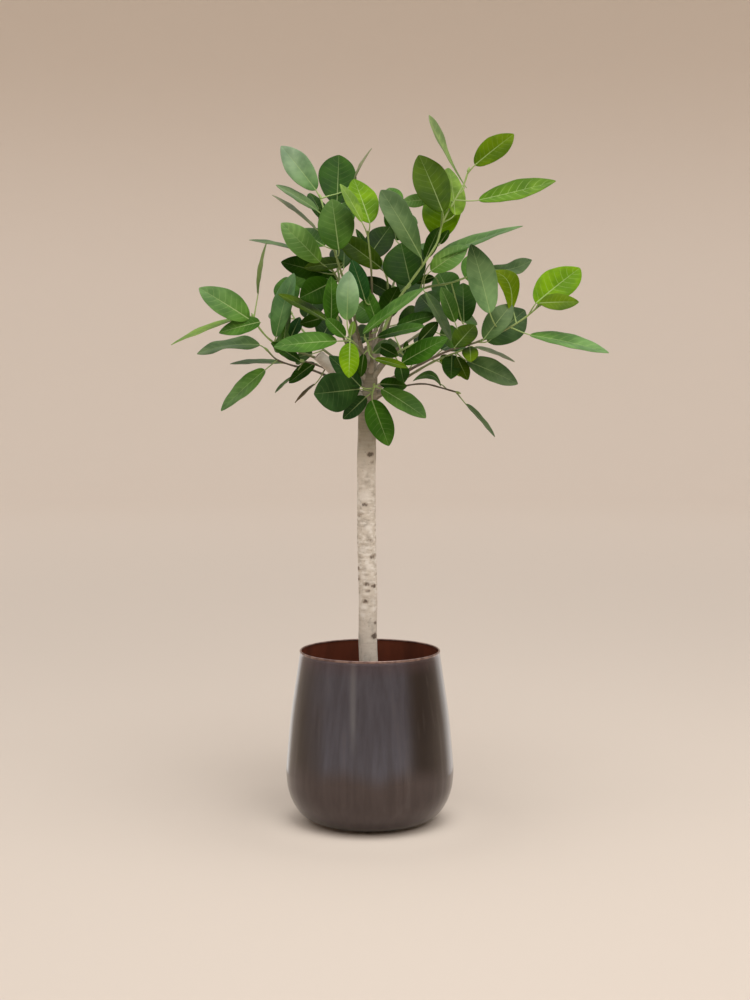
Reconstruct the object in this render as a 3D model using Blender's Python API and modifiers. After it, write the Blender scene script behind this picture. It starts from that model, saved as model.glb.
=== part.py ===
"""A young standard Bengal fig in a dark bronze metal pot, about 1.5 m tall.

The pot stands on the ground with its axis on +Z. Each leaf and branch is placed as a photograph
shows it from the front: by a pixel, and by a depth in millimetres behind the trunk.
"""

import math
from collections import namedtuple

import bmesh
import bpy
from mathutils import Vector
from mathutils.geometry import intersect_point_line

MM = 0.001
MERGE_DISTANCE = 1e-6

# Finishes: colour, roughness and, for metal, metallic share.
BRONZE = ((0.07, 0.06, 0.06), 0.3, 0.8)
POTTING_SOIL = ((0.05, 0.03, 0.02), 0.95)
BARK = ((0.52, 0.47, 0.38), 0.8)
LEAF_GREEN = ((0.08, 0.18, 0.05), 0.45)

# View that the pixels belong to.
METRES_PER_PIXEL = 0.00217
POT_AXIS_PX = 370
POT_FOOT_PX = 819
EYE = Vector((0.011, -3.6, 0.96))

# Pot: a spun metal shell, widest low down.
POT_HEIGHT = 0.368
POT_WALL = 0.002
POT_LIP = 0.0025
POT_FOOT_RADIUS = 0.087
POT_STEPS = 32
AXIS_MERGE = 0.0001
# The rolled lip runs over the wall from inside to outside, by angle from the inward side.
LIP_START = math.radians(-45)
LIP_END = math.radians(225)
LIP_POINTS = 6
# Radius and height of the outside, from the lip down to the foot.
POT_OUTSIDE = (
    (0.1512, 0.3630),
    (0.1620, 0.2900),
    (0.1710, 0.2260),
    (0.1768, 0.1660),
    (0.1812, 0.1160),
    (0.1815, 0.1010),
    (0.1776, 0.0730),
    (0.1672, 0.0440),
    (0.1475, 0.0180),
    (0.1210, 0.0045),
    (POT_FOOT_RADIUS, 0.0),
)

# Soil: fills the pot to a little under the lip.
SOIL_TOP = 0.303
SOIL_CROWN = 0.006
# Where the crown starts to fall, as a share of the soil's radius and of the crown's height.
SOIL_SHOULDER = (0.55, 0.8)
TOUCH_GAP = 0.0003
SOCKET_FLOOR = 0.180
SOCKET_RADIUS = 0.0212
SOCKET_SIDES = 20

# Trunk and wood.
TRUNK_SIDES = 10
PRUNED_LIMB_SIDES = 8
TWIG_SIDES = 4
TRUNK_FOOT_PX = 368.8
# Height over the soil up to which the trunk stands upright.
COLLAR_HEIGHT = 0.03
LIMB_BASE_RADIUS = 0.0075
LIMB_END_RADIUS = 0.0050

# Green stems, stalks and blades.
STEM_BASE_RADIUS = 0.0042
STEM_TIP_RADIUS = 0.0024
MEETING_RUN = 0.006
BUD_LENGTH = 0.010
BUD_TIP_RADIUS = 0.0006
STALK_RADIUS = 0.0018
STALK_SHARE = 0.24
# Corners of a stalk's section, as shares of its radius across and up.
STALK_CORNERS = ((-0.8, 0.5), (0, 1), (0.8, 0.5), (0.8, -0.5), (0, -1), (-0.8, -0.5))
LONG_STALK = 0.045
SHARP_TURN = math.radians(50)
KNEE_SHARE = 0.4
KNEE_LEAST = 0.014
KNEE_MOST = 0.03
BLADE_THICKNESS = 0.0009
MIDRIB_THICKNESS = 0.0018
BLADE_RATIO = 0.5
BLADE_WIDEST = 0.075
# Powers that set where a blade is widest and how full its ends are.
BLADE_SKEW = 0.92
BLADE_FULLNESS = 0.62
BLADE_ARCH = 0.02
BLADE_FOLD = 0.16
# Edge wave: its height, its radians over a blade, and its start in radians for each metre of length.
BLADE_WAVE = 0.05
WAVE_RUN = 9
WAVE_START = 200
BLADE_ROWS = (0.02, 0.16, 0.46, 0.80, 1.0)

Leaf = namedtuple(
    "Leaf",
    "base_px tip_px seen_px depth lean under bow",
    defaults=(None, False, (0, 0)),
)
Shoot = namedtuple("Shoot", "name wood_px stem_px leaves")

# Each point of a branch: pixel across, pixel down, depth in millimetres.
TRUNK_LINE = (
    (367.8, 640, 0),
    (368.2, 600, 0),
    (366.8, 540, 0),
    (366.5, 480, 0),
    (367.0, 430, 0),
    (367.6, 405, 0),
    (370.5, 385, 0),
    (371.5, 370, 2),
    (369.0, 356, 4),
    (367.5, 346, 6),
)
TRUNK_RADII = (0.0202, 0.0201, 0.0203, 0.0203, 0.0200, 0.0190, 0.0150, 0.0120, 0.0090, 0.0072)
PRUNED_LIMB = ((366, 409, 0), (353, 393, -6), (337, 373, -14), (318, 355, -22))
PRUNED_LIMB_RADIUS = 0.0138

SHOOTS = (
    Shoot(
        name="shoot_upper_left",
        wood_px=((367, 368, 2), (360, 342, 2)),
        stem_px=((350, 300, -16), (338, 262, -40), (330, 235, -54), (325, 214, -48), (321, 199, -40)),
        leaves=(
            Leaf(base_px=(316, 190), tip_px=(281, 146), seen_px=25, depth=-35),
            Leaf(base_px=(318, 209), tip_px=(276, 184), seen_px=9, depth=-58),
            Leaf(base_px=(316, 227), tip_px=(272, 193), seen_px=4, depth=-35),
            Leaf(base_px=(337, 204), tip_px=(339, 155), seen_px=40, depth=-20, lean=100),
            Leaf(base_px=(339, 250), tip_px=(332, 199), seen_px=36, depth=-100, lean=40),
            Leaf(base_px=(335, 245), tip_px=(320, 208), seen_px=16, depth=-10),
            Leaf(base_px=(354, 180), tip_px=(372, 148), seen_px=2, depth=10),
        ),
    ),
    Shoot(
        name="shoot_top_middle",
        wood_px=((369, 362, 0), (371, 335, -12)),
        stem_px=((372, 300, -35), (371, 265, -55), (369, 245, -66), (368, 236, -70)),
        leaves=(
            Leaf(base_px=(360, 221), tip_px=(341, 184), seen_px=10, depth=-65),
            Leaf(base_px=(369, 223), tip_px=(353, 179), seen_px=26, depth=-90),
            Leaf(base_px=(365, 300), tip_px=(352, 260), seen_px=18, depth=-80),
            Leaf(base_px=(378, 328), tip_px=(362, 283), seen_px=15, depth=-50),
        ),
    ),
    Shoot(
        name="shoot_top_right",
        wood_px=((371, 366, 0), (382, 335, -8)),
        stem_px=(
            (395, 305, -22),
            (412, 280, -38),
            (425, 262, -48),
            (437, 243, -52),
            (443, 222, -50),
            (455, 200, -42),
            (464, 184, -36),
            (468, 172, -34),
        ),
        leaves=(
            Leaf(base_px=(423, 258), tip_px=(384, 188), seen_px=28, depth=-80, lean=-10),
            Leaf(base_px=(430, 199), tip_px=(402, 202), seen_px=13, depth=0),
            Leaf(base_px=(409, 272), tip_px=(400, 244), seen_px=42, depth=-15, lean=110),
            Leaf(base_px=(426, 258), tip_px=(440, 227), seen_px=14, depth=-30),
            Leaf(base_px=(440, 244), tip_px=(449, 230), seen_px=8, depth=-28),
            Leaf(base_px=(443, 212), tip_px=(419, 155), seen_px=34, depth=-85),
            Leaf(base_px=(462, 211), tip_px=(447, 168), seen_px=20, depth=-12, under=True),
            Leaf(base_px=(465, 182), tip_px=(428, 115), seen_px=8, depth=-36, bow=(-3, 0)),
            Leaf(base_px=(446, 230), tip_px=(443, 182), seen_px=44, depth=-26, lean=90),
            Leaf(base_px=(476, 165), tip_px=(513, 133), seen_px=24, depth=-45),
            Leaf(base_px=(479, 198), tip_px=(556, 179), seen_px=18, depth=-45, lean=-40),
        ),
    ),
    Shoot(
        name="shoot_right_upper",
        wood_px=((372, 374, 2), (386, 332, 22)),
        stem_px=((397, 305, 34), (425, 288, 42), (450, 283, 46), (470, 276, 50), (484, 271, 50)),
        leaves=(
            Leaf(base_px=(434, 258), tip_px=(523, 226), seen_px=6, depth=10, lean=20, bow=(0, -2)),
            Leaf(base_px=(431, 268), tip_px=(466, 247), seen_px=20, depth=-12),
            Leaf(base_px=(490, 268), tip_px=(530, 258), seen_px=12, depth=50, bow=(0, -4)),
            Leaf(base_px=(425, 292), tip_px=(451, 341), seen_px=11, depth=-10),
            Leaf(base_px=(464, 322), tip_px=(463, 283), seen_px=27, depth=80, lean=60),
            Leaf(base_px=(432, 273), tip_px=(415, 278), seen_px=8, depth=40),
        ),
    ),
    Shoot(
        name="shoot_right",
        wood_px=((368, 392, 0), (405, 372, -14)),
        stem_px=((448, 351, -36), (480, 341, -60), (505, 330, -75), (526, 317, -85), (539, 306, -90)),
        leaves=(
            Leaf(base_px=(490, 313), tip_px=(471, 244), seen_px=28, depth=-115),
            Leaf(base_px=(517, 312), tip_px=(489, 274), seen_px=14, depth=-65, bow=(9, 13)),
            Leaf(base_px=(484, 337), tip_px=(512, 304), seen_px=24, depth=-100),
            Leaf(base_px=(491, 338), tip_px=(527, 312), seen_px=34, depth=-45, lean=70),
            Leaf(base_px=(539, 302), tip_px=(580, 268), seen_px=30, depth=-105),
            Leaf(base_px=(542, 304), tip_px=(579, 301), seen_px=17, depth=-82),
            Leaf(base_px=(530, 334), tip_px=(609, 352), seen_px=15, depth=-100, lean=-40),
            Leaf(base_px=(456, 322), tip_px=(440, 288), seen_px=14, depth=-40),
            Leaf(base_px=(452, 343), tip_px=(476, 325), seen_px=18, depth=-75),
        ),
    ),
    Shoot(
        name="shoot_right_lower",
        wood_px=((369, 399, 2), (402, 380, 30)),
        stem_px=((435, 361, 22), (455, 353, 8), (468, 348, 0)),
        leaves=(
            Leaf(base_px=(464, 361), tip_px=(515, 385), seen_px=22, depth=-15),
            Leaf(base_px=(449, 355), tip_px=(447, 379), seen_px=20, depth=20, lean=-50),
            Leaf(base_px=(454, 357), tip_px=(466, 381), seen_px=12, depth=0),
            Leaf(base_px=(470, 349), tip_px=(472, 363), seen_px=15, depth=-38, lean=-50),
            Leaf(base_px=(474, 346), tip_px=(516, 361), seen_px=5, depth=15),
        ),
    ),
    Shoot(
        name="twig_right",
        wood_px=((369, 404, 6), (386, 393, 30)),
        stem_px=((405, 386, 40), (425, 384, 40), (442, 388, 38), (456, 392, 36)),
        leaves=(
            Leaf(base_px=(467, 403), tip_px=(497, 436), seen_px=5, depth=30),
            Leaf(base_px=(440, 384), tip_px=(413, 381), seen_px=6, depth=46, bow=(2, 10)),
        ),
    ),
    Shoot(
        name="shoot_front_low",
        wood_px=((368, 400, -8), (371, 396, -32)),
        stem_px=((373, 391, -60), (374, 386, -80)),
        leaves=(
            Leaf(base_px=(372, 400), tip_px=(390, 446), seen_px=26, depth=-80, lean=-20),
            Leaf(base_px=(381, 390), tip_px=(424, 420), seen_px=20, depth=-85, lean=-40),
            Leaf(base_px=(380, 384), tip_px=(407, 386), seen_px=13, depth=-60, lean=30),
            Leaf(base_px=(360, 388), tip_px=(315, 394), seen_px=36, depth=-75, lean=-90),
            Leaf(base_px=(366, 397), tip_px=(344, 418), seen_px=17, depth=-60),
            Leaf(base_px=(367, 386), tip_px=(353, 375), seen_px=12, depth=-45, lean=-10),
        ),
    ),
    Shoot(
        name="shoot_left",
        wood_px=((366, 386, 2), (335, 366, 16)),
        stem_px=((300, 352, 16), (281, 347, 8), (268, 338, -2), (258, 326, -12), (254, 318, -14)),
        leaves=(
            Leaf(base_px=(249, 319), tip_px=(199, 288), seen_px=27, depth=-30),
            Leaf(base_px=(250, 315), tip_px=(171, 345), seen_px=7, depth=5, bow=(0, 6)),
            Leaf(base_px=(255, 329), tip_px=(219, 333), seen_px=15, depth=-36),
            Leaf(base_px=(258, 292), tip_px=(267, 242), seen_px=4, depth=-5),
            Leaf(base_px=(276, 337), tip_px=(294, 273), seen_px=20, depth=-25, lean=15),
            Leaf(base_px=(284, 341), tip_px=(290, 305), seen_px=9, depth=0),
            Leaf(base_px=(291, 337), tip_px=(300, 317), seen_px=12, depth=30),
        ),
    ),
    Shoot(
        name="shoot_left_lower",
        wood_px=((366, 396, 4), (340, 382, 52)),
        stem_px=((312, 370, 80), (291, 365, 92), (276, 359, 96), (268, 351, 98)),
        leaves=(
            Leaf(base_px=(260, 344), tip_px=(197, 354), seen_px=14, depth=105, bow=(0, 3)),
            Leaf(base_px=(281, 363), tip_px=(230, 364), seen_px=5, depth=125),
            Leaf(base_px=(264, 370), tip_px=(221, 411), seen_px=19, depth=70),
        ),
    ),
    Shoot(
        name="shoot_front_middle",
        wood_px=((369, 366, -8), (364, 357, -48)),
        stem_px=((358, 348, -100), (353, 342, -150), (350, 340, -185)),
        leaves=(
            Leaf(base_px=(347, 320), tip_px=(349, 271), seen_px=24, depth=-190),
            Leaf(base_px=(331, 322), tip_px=(331, 276), seen_px=18, depth=-140),
            Leaf(base_px=(350, 343), tip_px=(349, 378), seen_px=21, depth=-200, lean=-30),
            Leaf(base_px=(337, 341), tip_px=(274, 347), seen_px=20, depth=-160),
            Leaf(base_px=(345, 337), tip_px=(326, 318), seen_px=14, depth=-165),
            Leaf(base_px=(351, 335), tip_px=(354, 321), seen_px=7, depth=-190),
        ),
    ),
    Shoot(
        name="shoot_left_upper",
        wood_px=((367, 373, 6), (354, 335, 44)),
        stem_px=((346, 300, 58), (336, 276, 64), (326, 262, 66), (316, 253, 68), (306, 250, 70)),
        leaves=(
            Leaf(base_px=(300, 249), tip_px=(249, 238), seen_px=4, depth=75),
            Leaf(base_px=(322, 258), tip_px=(282, 221), seen_px=27, depth=30),
            Leaf(base_px=(323, 272), tip_px=(283, 260), seen_px=20, depth=70),
            Leaf(base_px=(343, 261), tip_px=(304, 267), seen_px=12, depth=54),
            Leaf(base_px=(333, 280), tip_px=(300, 274), seen_px=17, depth=105),
        ),
    ),
    Shoot(
        name="shoot_left_middle",
        wood_px=((366, 380, 0), (350, 352, -6)),
        stem_px=((340, 328, -14), (336, 305, -18), (335, 290, -20)),
        leaves=(
            Leaf(base_px=(330, 283), tip_px=(300, 298), seen_px=28, depth=-30, lean=-45),
            Leaf(base_px=(326, 320), tip_px=(278, 294), seen_px=10, depth=-60, lean=-10),
            Leaf(base_px=(322, 322), tip_px=(304, 330), seen_px=12, depth=0),
        ),
    ),
    Shoot(
        name="shoot_heart",
        wood_px=((370, 364, 6), (379, 335, 40)),
        stem_px=((386, 310, 62), (388, 290, 72), (386, 272, 78), (382, 262, 80)),
        leaves=(
            Leaf(base_px=(379, 267), tip_px=(343, 240), seen_px=17, depth=40),
            Leaf(base_px=(372, 252), tip_px=(388, 231), seen_px=20, depth=70),
            Leaf(base_px=(398, 298), tip_px=(366, 280), seen_px=14, depth=110),
            Leaf(base_px=(382, 318), tip_px=(396, 290), seen_px=20, depth=56, lean=6),
            Leaf(base_px=(368, 254), tip_px=(357, 232), seen_px=6, depth=80),
        ),
    ),
    Shoot(
        name="shoot_front_upper",
        wood_px=((371, 372, -6), (372, 361, -38)),
        stem_px=((371, 352, -70), (369, 345, -95), (366, 340, -112)),
        leaves=(
            Leaf(base_px=(363, 334), tip_px=(424, 289), seen_px=9, depth=-125, lean=-20),
            Leaf(base_px=(378, 337), tip_px=(425, 326), seen_px=11, depth=-105),
            Leaf(base_px=(375, 359), tip_px=(408, 368), seen_px=8, depth=-130),
            Leaf(base_px=(379, 346), tip_px=(398, 356), seen_px=14, depth=-60),
            Leaf(base_px=(374, 353), tip_px=(388, 340), seen_px=10, depth=-70),
            Leaf(base_px=(364, 354), tip_px=(361, 377), seen_px=10, depth=-80),
        ),
    ),
    Shoot(
        name="shoot_right_middle",
        wood_px=((372, 380, -4), (386, 362, -18)),
        stem_px=((402, 350, -26), (416, 343, -30)),
        leaves=(
            Leaf(base_px=(397, 326), tip_px=(432, 312), seen_px=12, depth=-10),
            Leaf(base_px=(421, 341), tip_px=(436, 328), seen_px=10, depth=-35),
            Leaf(base_px=(402, 363), tip_px=(448, 338), seen_px=20, depth=-100, lean=-20),
            Leaf(base_px=(405, 354), tip_px=(407, 341), seen_px=6, depth=-10),
            Leaf(base_px=(400, 365), tip_px=(404, 383), seen_px=15, depth=-30, lean=-50),
        ),
    ),
    Shoot(
        name="twig_left",
        wood_px=((362, 398, 4), (345, 380, 22)),
        stem_px=((330, 371, 20), (314, 364, 14), (304, 361, 8)),
        leaves=(
            Leaf(base_px=(300, 361), tip_px=(271, 343), seen_px=12, depth=-22, lean=-26),
            Leaf(base_px=(313, 369), tip_px=(288, 387), seen_px=15, depth=28),
            Leaf(base_px=(292, 377), tip_px=(275, 393), seen_px=3, depth=40),
            Leaf(base_px=(315, 384), tip_px=(295, 403), seen_px=3, depth=30),
        ),
    ),
    Shoot(
        name="shoot_back_left_upper",
        wood_px=((367, 372, 8), (356, 338, 56)),
        stem_px=((346, 308, 92), (339, 276, 122), (335, 250, 140), (333, 224, 152), (334, 208, 156)),
        leaves=(
            Leaf(base_px=(336, 200), tip_px=(340, 168), seen_px=26, depth=170, lean=60),
            Leaf(base_px=(325, 222), tip_px=(312, 196), seen_px=14, depth=165, lean=60),
            Leaf(base_px=(344, 232), tip_px=(350, 200), seen_px=18, depth=175, lean=90),
            Leaf(base_px=(324, 246), tip_px=(300, 232), seen_px=20, depth=160, lean=100),
            Leaf(base_px=(344, 268), tip_px=(346, 240), seen_px=24, depth=160, lean=120),
            Leaf(base_px=(330, 284), tip_px=(298, 276), seen_px=24, depth=140, lean=90),
        ),
    ),
    Shoot(
        name="shoot_back_top",
        wood_px=((369, 362, 10), (376, 328, 46)),
        stem_px=((388, 300, 84), (397, 272, 112), (402, 246, 134), (402, 226, 148), (400, 214, 152)),
        leaves=(
            Leaf(base_px=(398, 206), tip_px=(390, 190), seen_px=16, depth=165, lean=70),
            Leaf(base_px=(408, 226), tip_px=(400, 206), seen_px=14, depth=155, lean=110),
            Leaf(base_px=(393, 240), tip_px=(384, 214), seen_px=16, depth=160, lean=80),
            Leaf(base_px=(409, 262), tip_px=(420, 246), seen_px=16, depth=140, lean=120),
            Leaf(base_px=(388, 276), tip_px=(372, 262), seen_px=20, depth=130, lean=110),
            Leaf(base_px=(400, 292), tip_px=(414, 278), seen_px=26, depth=115, lean=100),
        ),
    ),
    Shoot(
        name="shoot_back_right",
        wood_px=((373, 374, 10), (396, 350, 70)),
        stem_px=((422, 332, 132), (444, 318, 185), (458, 304, 225), (466, 292, 245)),
        leaves=(
            Leaf(base_px=(470, 282), tip_px=(478, 256), seen_px=22, depth=260, lean=80),
            Leaf(base_px=(474, 298), tip_px=(496, 286), seen_px=20, depth=250, lean=100),
            Leaf(base_px=(452, 298), tip_px=(440, 276), seen_px=26, depth=235, lean=100),
            Leaf(base_px=(462, 318), tip_px=(484, 320), seen_px=22, depth=215, lean=110),
            Leaf(base_px=(436, 314), tip_px=(422, 298), seen_px=26, depth=180, lean=100),
            Leaf(base_px=(440, 334), tip_px=(460, 340), seen_px=20, depth=160, lean=100),
        ),
    ),
    Shoot(
        name="shoot_back_left",
        wood_px=((366, 384, 8), (346, 366, 70)),
        stem_px=((324, 350, 130), (308, 336, 182), (298, 324, 220), (292, 314, 240)),
        leaves=(
            Leaf(base_px=(289, 306), tip_px=(286, 280), seen_px=22, depth=255, lean=90),
            Leaf(base_px=(282, 318), tip_px=(258, 310), seen_px=18, depth=240, lean=70),
            Leaf(base_px=(306, 318), tip_px=(318, 296), seen_px=20, depth=235, lean=90),
            Leaf(base_px=(296, 338), tip_px=(276, 344), seen_px=18, depth=205, lean=100),
            Leaf(base_px=(322, 338), tip_px=(334, 316), seen_px=22, depth=165, lean=100),
            Leaf(base_px=(312, 354), tip_px=(298, 358), seen_px=14, depth=140, lean=80),
        ),
    ),
    Shoot(
        name="shoot_back_middle",
        wood_px=((371, 376, 10), (372, 362, 80)),
        stem_px=((376, 348, 150), (381, 334, 215), (386, 322, 265), (388, 314, 290)),
        leaves=(
            Leaf(base_px=(390, 306), tip_px=(394, 288), seen_px=26, depth=300, lean=90),
            Leaf(base_px=(376, 318), tip_px=(360, 306), seen_px=22, depth=285, lean=90),
            Leaf(base_px=(399, 324), tip_px=(420, 316), seen_px=24, depth=260, lean=100),
            Leaf(base_px=(370, 338), tip_px=(350, 336), seen_px=20, depth=210, lean=110),
            Leaf(base_px=(392, 346), tip_px=(410, 350), seen_px=18, depth=180, lean=110),
            Leaf(base_px=(366, 356), tip_px=(350, 362), seen_px=14, depth=130, lean=90),
        ),
    ),
    Shoot(
        name="shoot_back_right_lower",
        wood_px=((372, 392, 8), (388, 382, 58)),
        stem_px=((408, 370, 115), (424, 362, 160), (436, 356, 195)),
        leaves=(
            Leaf(base_px=(442, 350), tip_px=(458, 342), seen_px=18, depth=210, lean=110),
            Leaf(base_px=(440, 362), tip_px=(462, 370), seen_px=14, depth=195, lean=90),
            Leaf(base_px=(426, 352), tip_px=(424, 336), seen_px=20, depth=175, lean=100),
            Leaf(base_px=(414, 362), tip_px=(418, 344), seen_px=16, depth=125, lean=80),
        ),
    ),
)


def photo_point(pixel_x, pixel_y, depth):
    """World place of a pixel, at a depth in metres behind the trunk."""
    flat = Vector(
        (
            (pixel_x - POT_AXIS_PX) * METRES_PER_PIXEL,
            0.0,
            (POT_FOOT_PX - pixel_y) * METRES_PER_PIXEL,
        )
    )
    return EYE + (flat - EYE) * ((depth - EYE.y) / -EYE.y)


def branch_points(line):
    """World points of a branch given by pixels and depths."""
    return [photo_point(x, y, depth * MM) for x, y, depth in line]


def make_material(name, colour, roughness, metallic=0.0):
    material = bpy.data.materials.new(name)
    material.use_nodes = True
    shader = material.node_tree.nodes["Principled BSDF"]
    shader.inputs["Base Color"].default_value = (*colour, 1.0)
    shader.inputs["Roughness"].default_value = roughness
    shader.inputs["Metallic"].default_value = metallic
    return material


def make_collection(name):
    collection = bpy.data.collections.new(name)
    bpy.context.scene.collection.children.link(collection)
    return collection


def mesh_object(name, mesh, collection):
    made = bpy.data.objects.new(name, mesh)
    collection.objects.link(made)
    return made


def evaluated_mesh(source, collection, name):
    """A new object that holds a source object as its modifiers or bevel make it."""
    bpy.context.view_layer.update()
    graph = bpy.context.evaluated_depsgraph_get()
    mesh = bpy.data.meshes.new_from_object(source.evaluated_get(graph))
    data = source.data
    bpy.data.objects.remove(source)
    if isinstance(data, bpy.types.Curve):
        bpy.data.curves.remove(data)
    else:
        bpy.data.meshes.remove(data)
    mesh.name = name
    return mesh_object(name, mesh, collection)


def tube(name, points, radii, sides, collection):
    """A closed tube of an even number of sides along the points, with a radius at each one."""
    curve = bpy.data.curves.new(name, "CURVE")
    curve.dimensions = "3D"
    curve.bevel_depth = 1.0
    curve.bevel_resolution = sides // 2 - 2
    curve.use_fill_caps = True
    spline = curve.splines.new("POLY")
    spline.points.add(len(points) - 1)
    for control, point, radius in zip(spline.points, points, radii):
        control.co = (*point, 1.0)
        control.radius = radius
    made = evaluated_mesh(mesh_object(name, curve, collection), collection, name)
    shape = bmesh.new()
    shape.from_mesh(made.data)
    bmesh.ops.remove_doubles(shape, verts=shape.verts, dist=MERGE_DISTANCE)
    bmesh.ops.triangulate(shape, faces=shape.faces)
    shape.to_mesh(made.data)
    shape.free()
    return made


def spread(first, last, count):
    """Evenly spaced values from first to last."""
    return [first + (last - first) * i / (count - 1) for i in range(count)]


def turned(name, outline, steps, collection):
    """A solid turned about +Z from points of radius and height."""
    mesh = bpy.data.meshes.new(name)
    corners = [(radius, 0.0, height) for radius, height in outline]
    edges = [(i, i + 1) for i in range(len(corners) - 1)]
    mesh.from_pydata(corners, edges, [])
    made = mesh_object(name, mesh, collection)
    screw = made.modifiers.new("Turn", "SCREW")
    screw.steps = steps
    screw.render_steps = steps
    screw.use_merge_vertices = True
    screw.merge_threshold = AXIS_MERGE
    screw.use_smooth_shade = True
    return made


def unite(body, pieces):
    """Joins every object in the pieces collection to the body, and removes them."""
    join = body.modifiers.new("Join", "BOOLEAN")
    join.operation = "UNION"
    join.operand_type = "COLLECTION"
    join.collection = pieces
    join.solver = "EXACT"
    joined = evaluated_mesh(body, body.users_collection[0], body.name)
    for piece in list(pieces.objects):
        mesh = piece.data
        bpy.data.objects.remove(piece)
        bpy.data.meshes.remove(mesh)
    bpy.data.collections.remove(pieces)
    return joined


def inset(outline, distance):
    """Outline of radius and height moved towards the axis and up, square to itself."""
    moved = []
    for i, (radius, height) in enumerate(outline):
        before = outline[max(i - 1, 0)]
        after = outline[min(i + 1, len(outline) - 1)]
        slope = Vector((after[0] - before[0], after[1] - before[1])).normalized()
        moved.append((radius + slope.y * distance, height - slope.x * distance))
    return moved


def build_pot(home):
    inside = inset(POT_OUTSIDE, POT_WALL)
    lip_radius = POT_OUTSIDE[0][0] - POT_WALL / 2
    lip = [
        (
            lip_radius - POT_LIP * math.cos(angle),
            POT_HEIGHT - POT_LIP + POT_LIP * math.sin(angle),
        )
        for angle in spread(LIP_START, LIP_END, LIP_POINTS)
    ]
    outline = [(0.0, POT_WALL), *reversed(inside), *lip, *POT_OUTSIDE, (0.0, 0.0)]
    pot = turned("pot", outline, POT_STEPS, home)
    pot.data.materials.append(make_material("dark bronze", *BRONZE))


def build_soil(home):
    inside = inset(POT_OUTSIDE, POT_WALL + TOUCH_GAP)
    below = [point for point in inside if point[1] < SOIL_TOP]
    above = [point for point in inside if point[1] >= SOIL_TOP][-1]
    share = (SOIL_TOP - below[0][1]) / (above[1] - below[0][1])
    edge = below[0][0] + (above[0] - below[0][0]) * share
    out, up = SOIL_SHOULDER
    outline = [(0.0, SOIL_TOP + SOIL_CROWN), (edge * out, SOIL_TOP + SOIL_CROWN * up)]
    outline += [(edge, SOIL_TOP), *below, (0.0, POT_WALL + TOUCH_GAP)]
    soil = turned("soil", outline, POT_STEPS, home)
    soil.data.materials.append(make_material("potting soil", *POTTING_SOIL))
    cutters = make_collection("cutters")
    height = POT_HEIGHT - SOCKET_FLOOR
    centre = photo_point(TRUNK_FOOT_PX, POT_FOOT_PX, 0.0).x
    bpy.ops.mesh.primitive_cylinder_add(
        vertices=SOCKET_SIDES,
        radius=SOCKET_RADIUS,
        depth=height,
        location=(centre, 0.0, SOCKET_FLOOR + height / 2),
    )
    hole = bpy.context.active_object
    hole.name = "trunk_hole"
    hole.users_collection[0].objects.unlink(hole)
    cutters.objects.link(hole)
    hole.hide_render = True
    hole.display_type = "WIRE"
    cut = soil.modifiers.new("Trunk hole", "BOOLEAN")
    cut.operation = "DIFFERENCE"
    cut.object = hole
    cut.solver = "EXACT"


def limb_lines(shoot):
    """World lines of a shoot's wood and green stem, which face each other across a small gap."""
    wood = branch_points(shoot.wood_px)
    green = branch_points(shoot.stem_px)
    meeting = wood[-1]
    heading = (green[0] - wood[-2]).normalized()
    step = heading * MEETING_RUN
    gap = heading * (TOUCH_GAP / 2)
    woody = [*wood[:-1], meeting - step, meeting - gap]
    leafy = [meeting + gap, meeting + step, *green]
    return woody, leafy


def build_trunk(home):
    foot = photo_point(TRUNK_FOOT_PX, POT_FOOT_PX, 0.0)
    foot.z = SOCKET_FLOOR + TOUCH_GAP
    collar = Vector((foot.x, 0.0, SOIL_TOP + COLLAR_HEIGHT))
    points = [foot, collar, *branch_points(TRUNK_LINE)]
    radii = [TRUNK_RADII[0], TRUNK_RADII[0], *TRUNK_RADII]
    trunk = tube("trunk", points, radii, TRUNK_SIDES, home)
    limbs = make_collection("limbs")
    pruned = branch_points(PRUNED_LIMB)
    pruned_radii = [PRUNED_LIMB_RADIUS] * len(pruned)
    tube("pruned_limb", pruned, pruned_radii, PRUNED_LIMB_SIDES, limbs)
    for shoot in SHOOTS:
        woody, _ = limb_lines(shoot)
        radii = spread(LIMB_BASE_RADIUS, LIMB_END_RADIUS, len(woody))
        tube("limb_" + shoot.name, woody, radii, TWIG_SIDES, limbs)
    trunk = unite(trunk, limbs)
    trunk.data.materials.clear()
    trunk.data.materials.append(make_material("fig bark", *BARK))


def leaf_axes(leaf):
    """Base, length, width, and the along, side and normal directions of a leaf's blade."""
    base = photo_point(*leaf.base_px, leaf.depth * MM)
    scale = METRES_PER_PIXEL * (leaf.depth * MM - EYE.y) / -EYE.y
    seen_length = math.dist(leaf.base_px, leaf.tip_px) * scale
    seen_width = leaf.seen_px * scale
    lean = leaf.lean
    if lean is None:
        true_length = max(seen_length, seen_width / BLADE_RATIO)
        rising = leaf.tip_px[1] < leaf.base_px[1]
        way = 1 if rising != leaf.under else -1
        lean = way * math.sqrt(true_length**2 - seen_length**2) / MM
    tip = photo_point(*leaf.tip_px, (leaf.depth + lean) * MM)
    length = (tip - base).length
    along = (tip - base) / length
    width = max(seen_width, min(BLADE_RATIO * length, BLADE_WIDEST))
    to_eye = (EYE - base).normalized()
    facing = (to_eye - along * to_eye.dot(along)).normalized()
    across = along.cross(facing)
    roll = math.acos(min(1.0, seen_width / width))
    front = facing * math.cos(roll) * (-1 if leaf.under else 1)
    normals = [front + across * math.sin(roll), front - across * math.sin(roll)]
    normal = max(normals, key=lambda n: n.z)
    return base, length, width, along, normal.cross(along), normal


def blade_half_width(t):
    """Half width of a blade as a share of its widest, from its base at 0 to its tip at 1."""
    u = t**BLADE_SKEW
    return (4 * u * (1 - u)) ** BLADE_FULLNESS if 0 < t < 1 else 0.0


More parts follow.
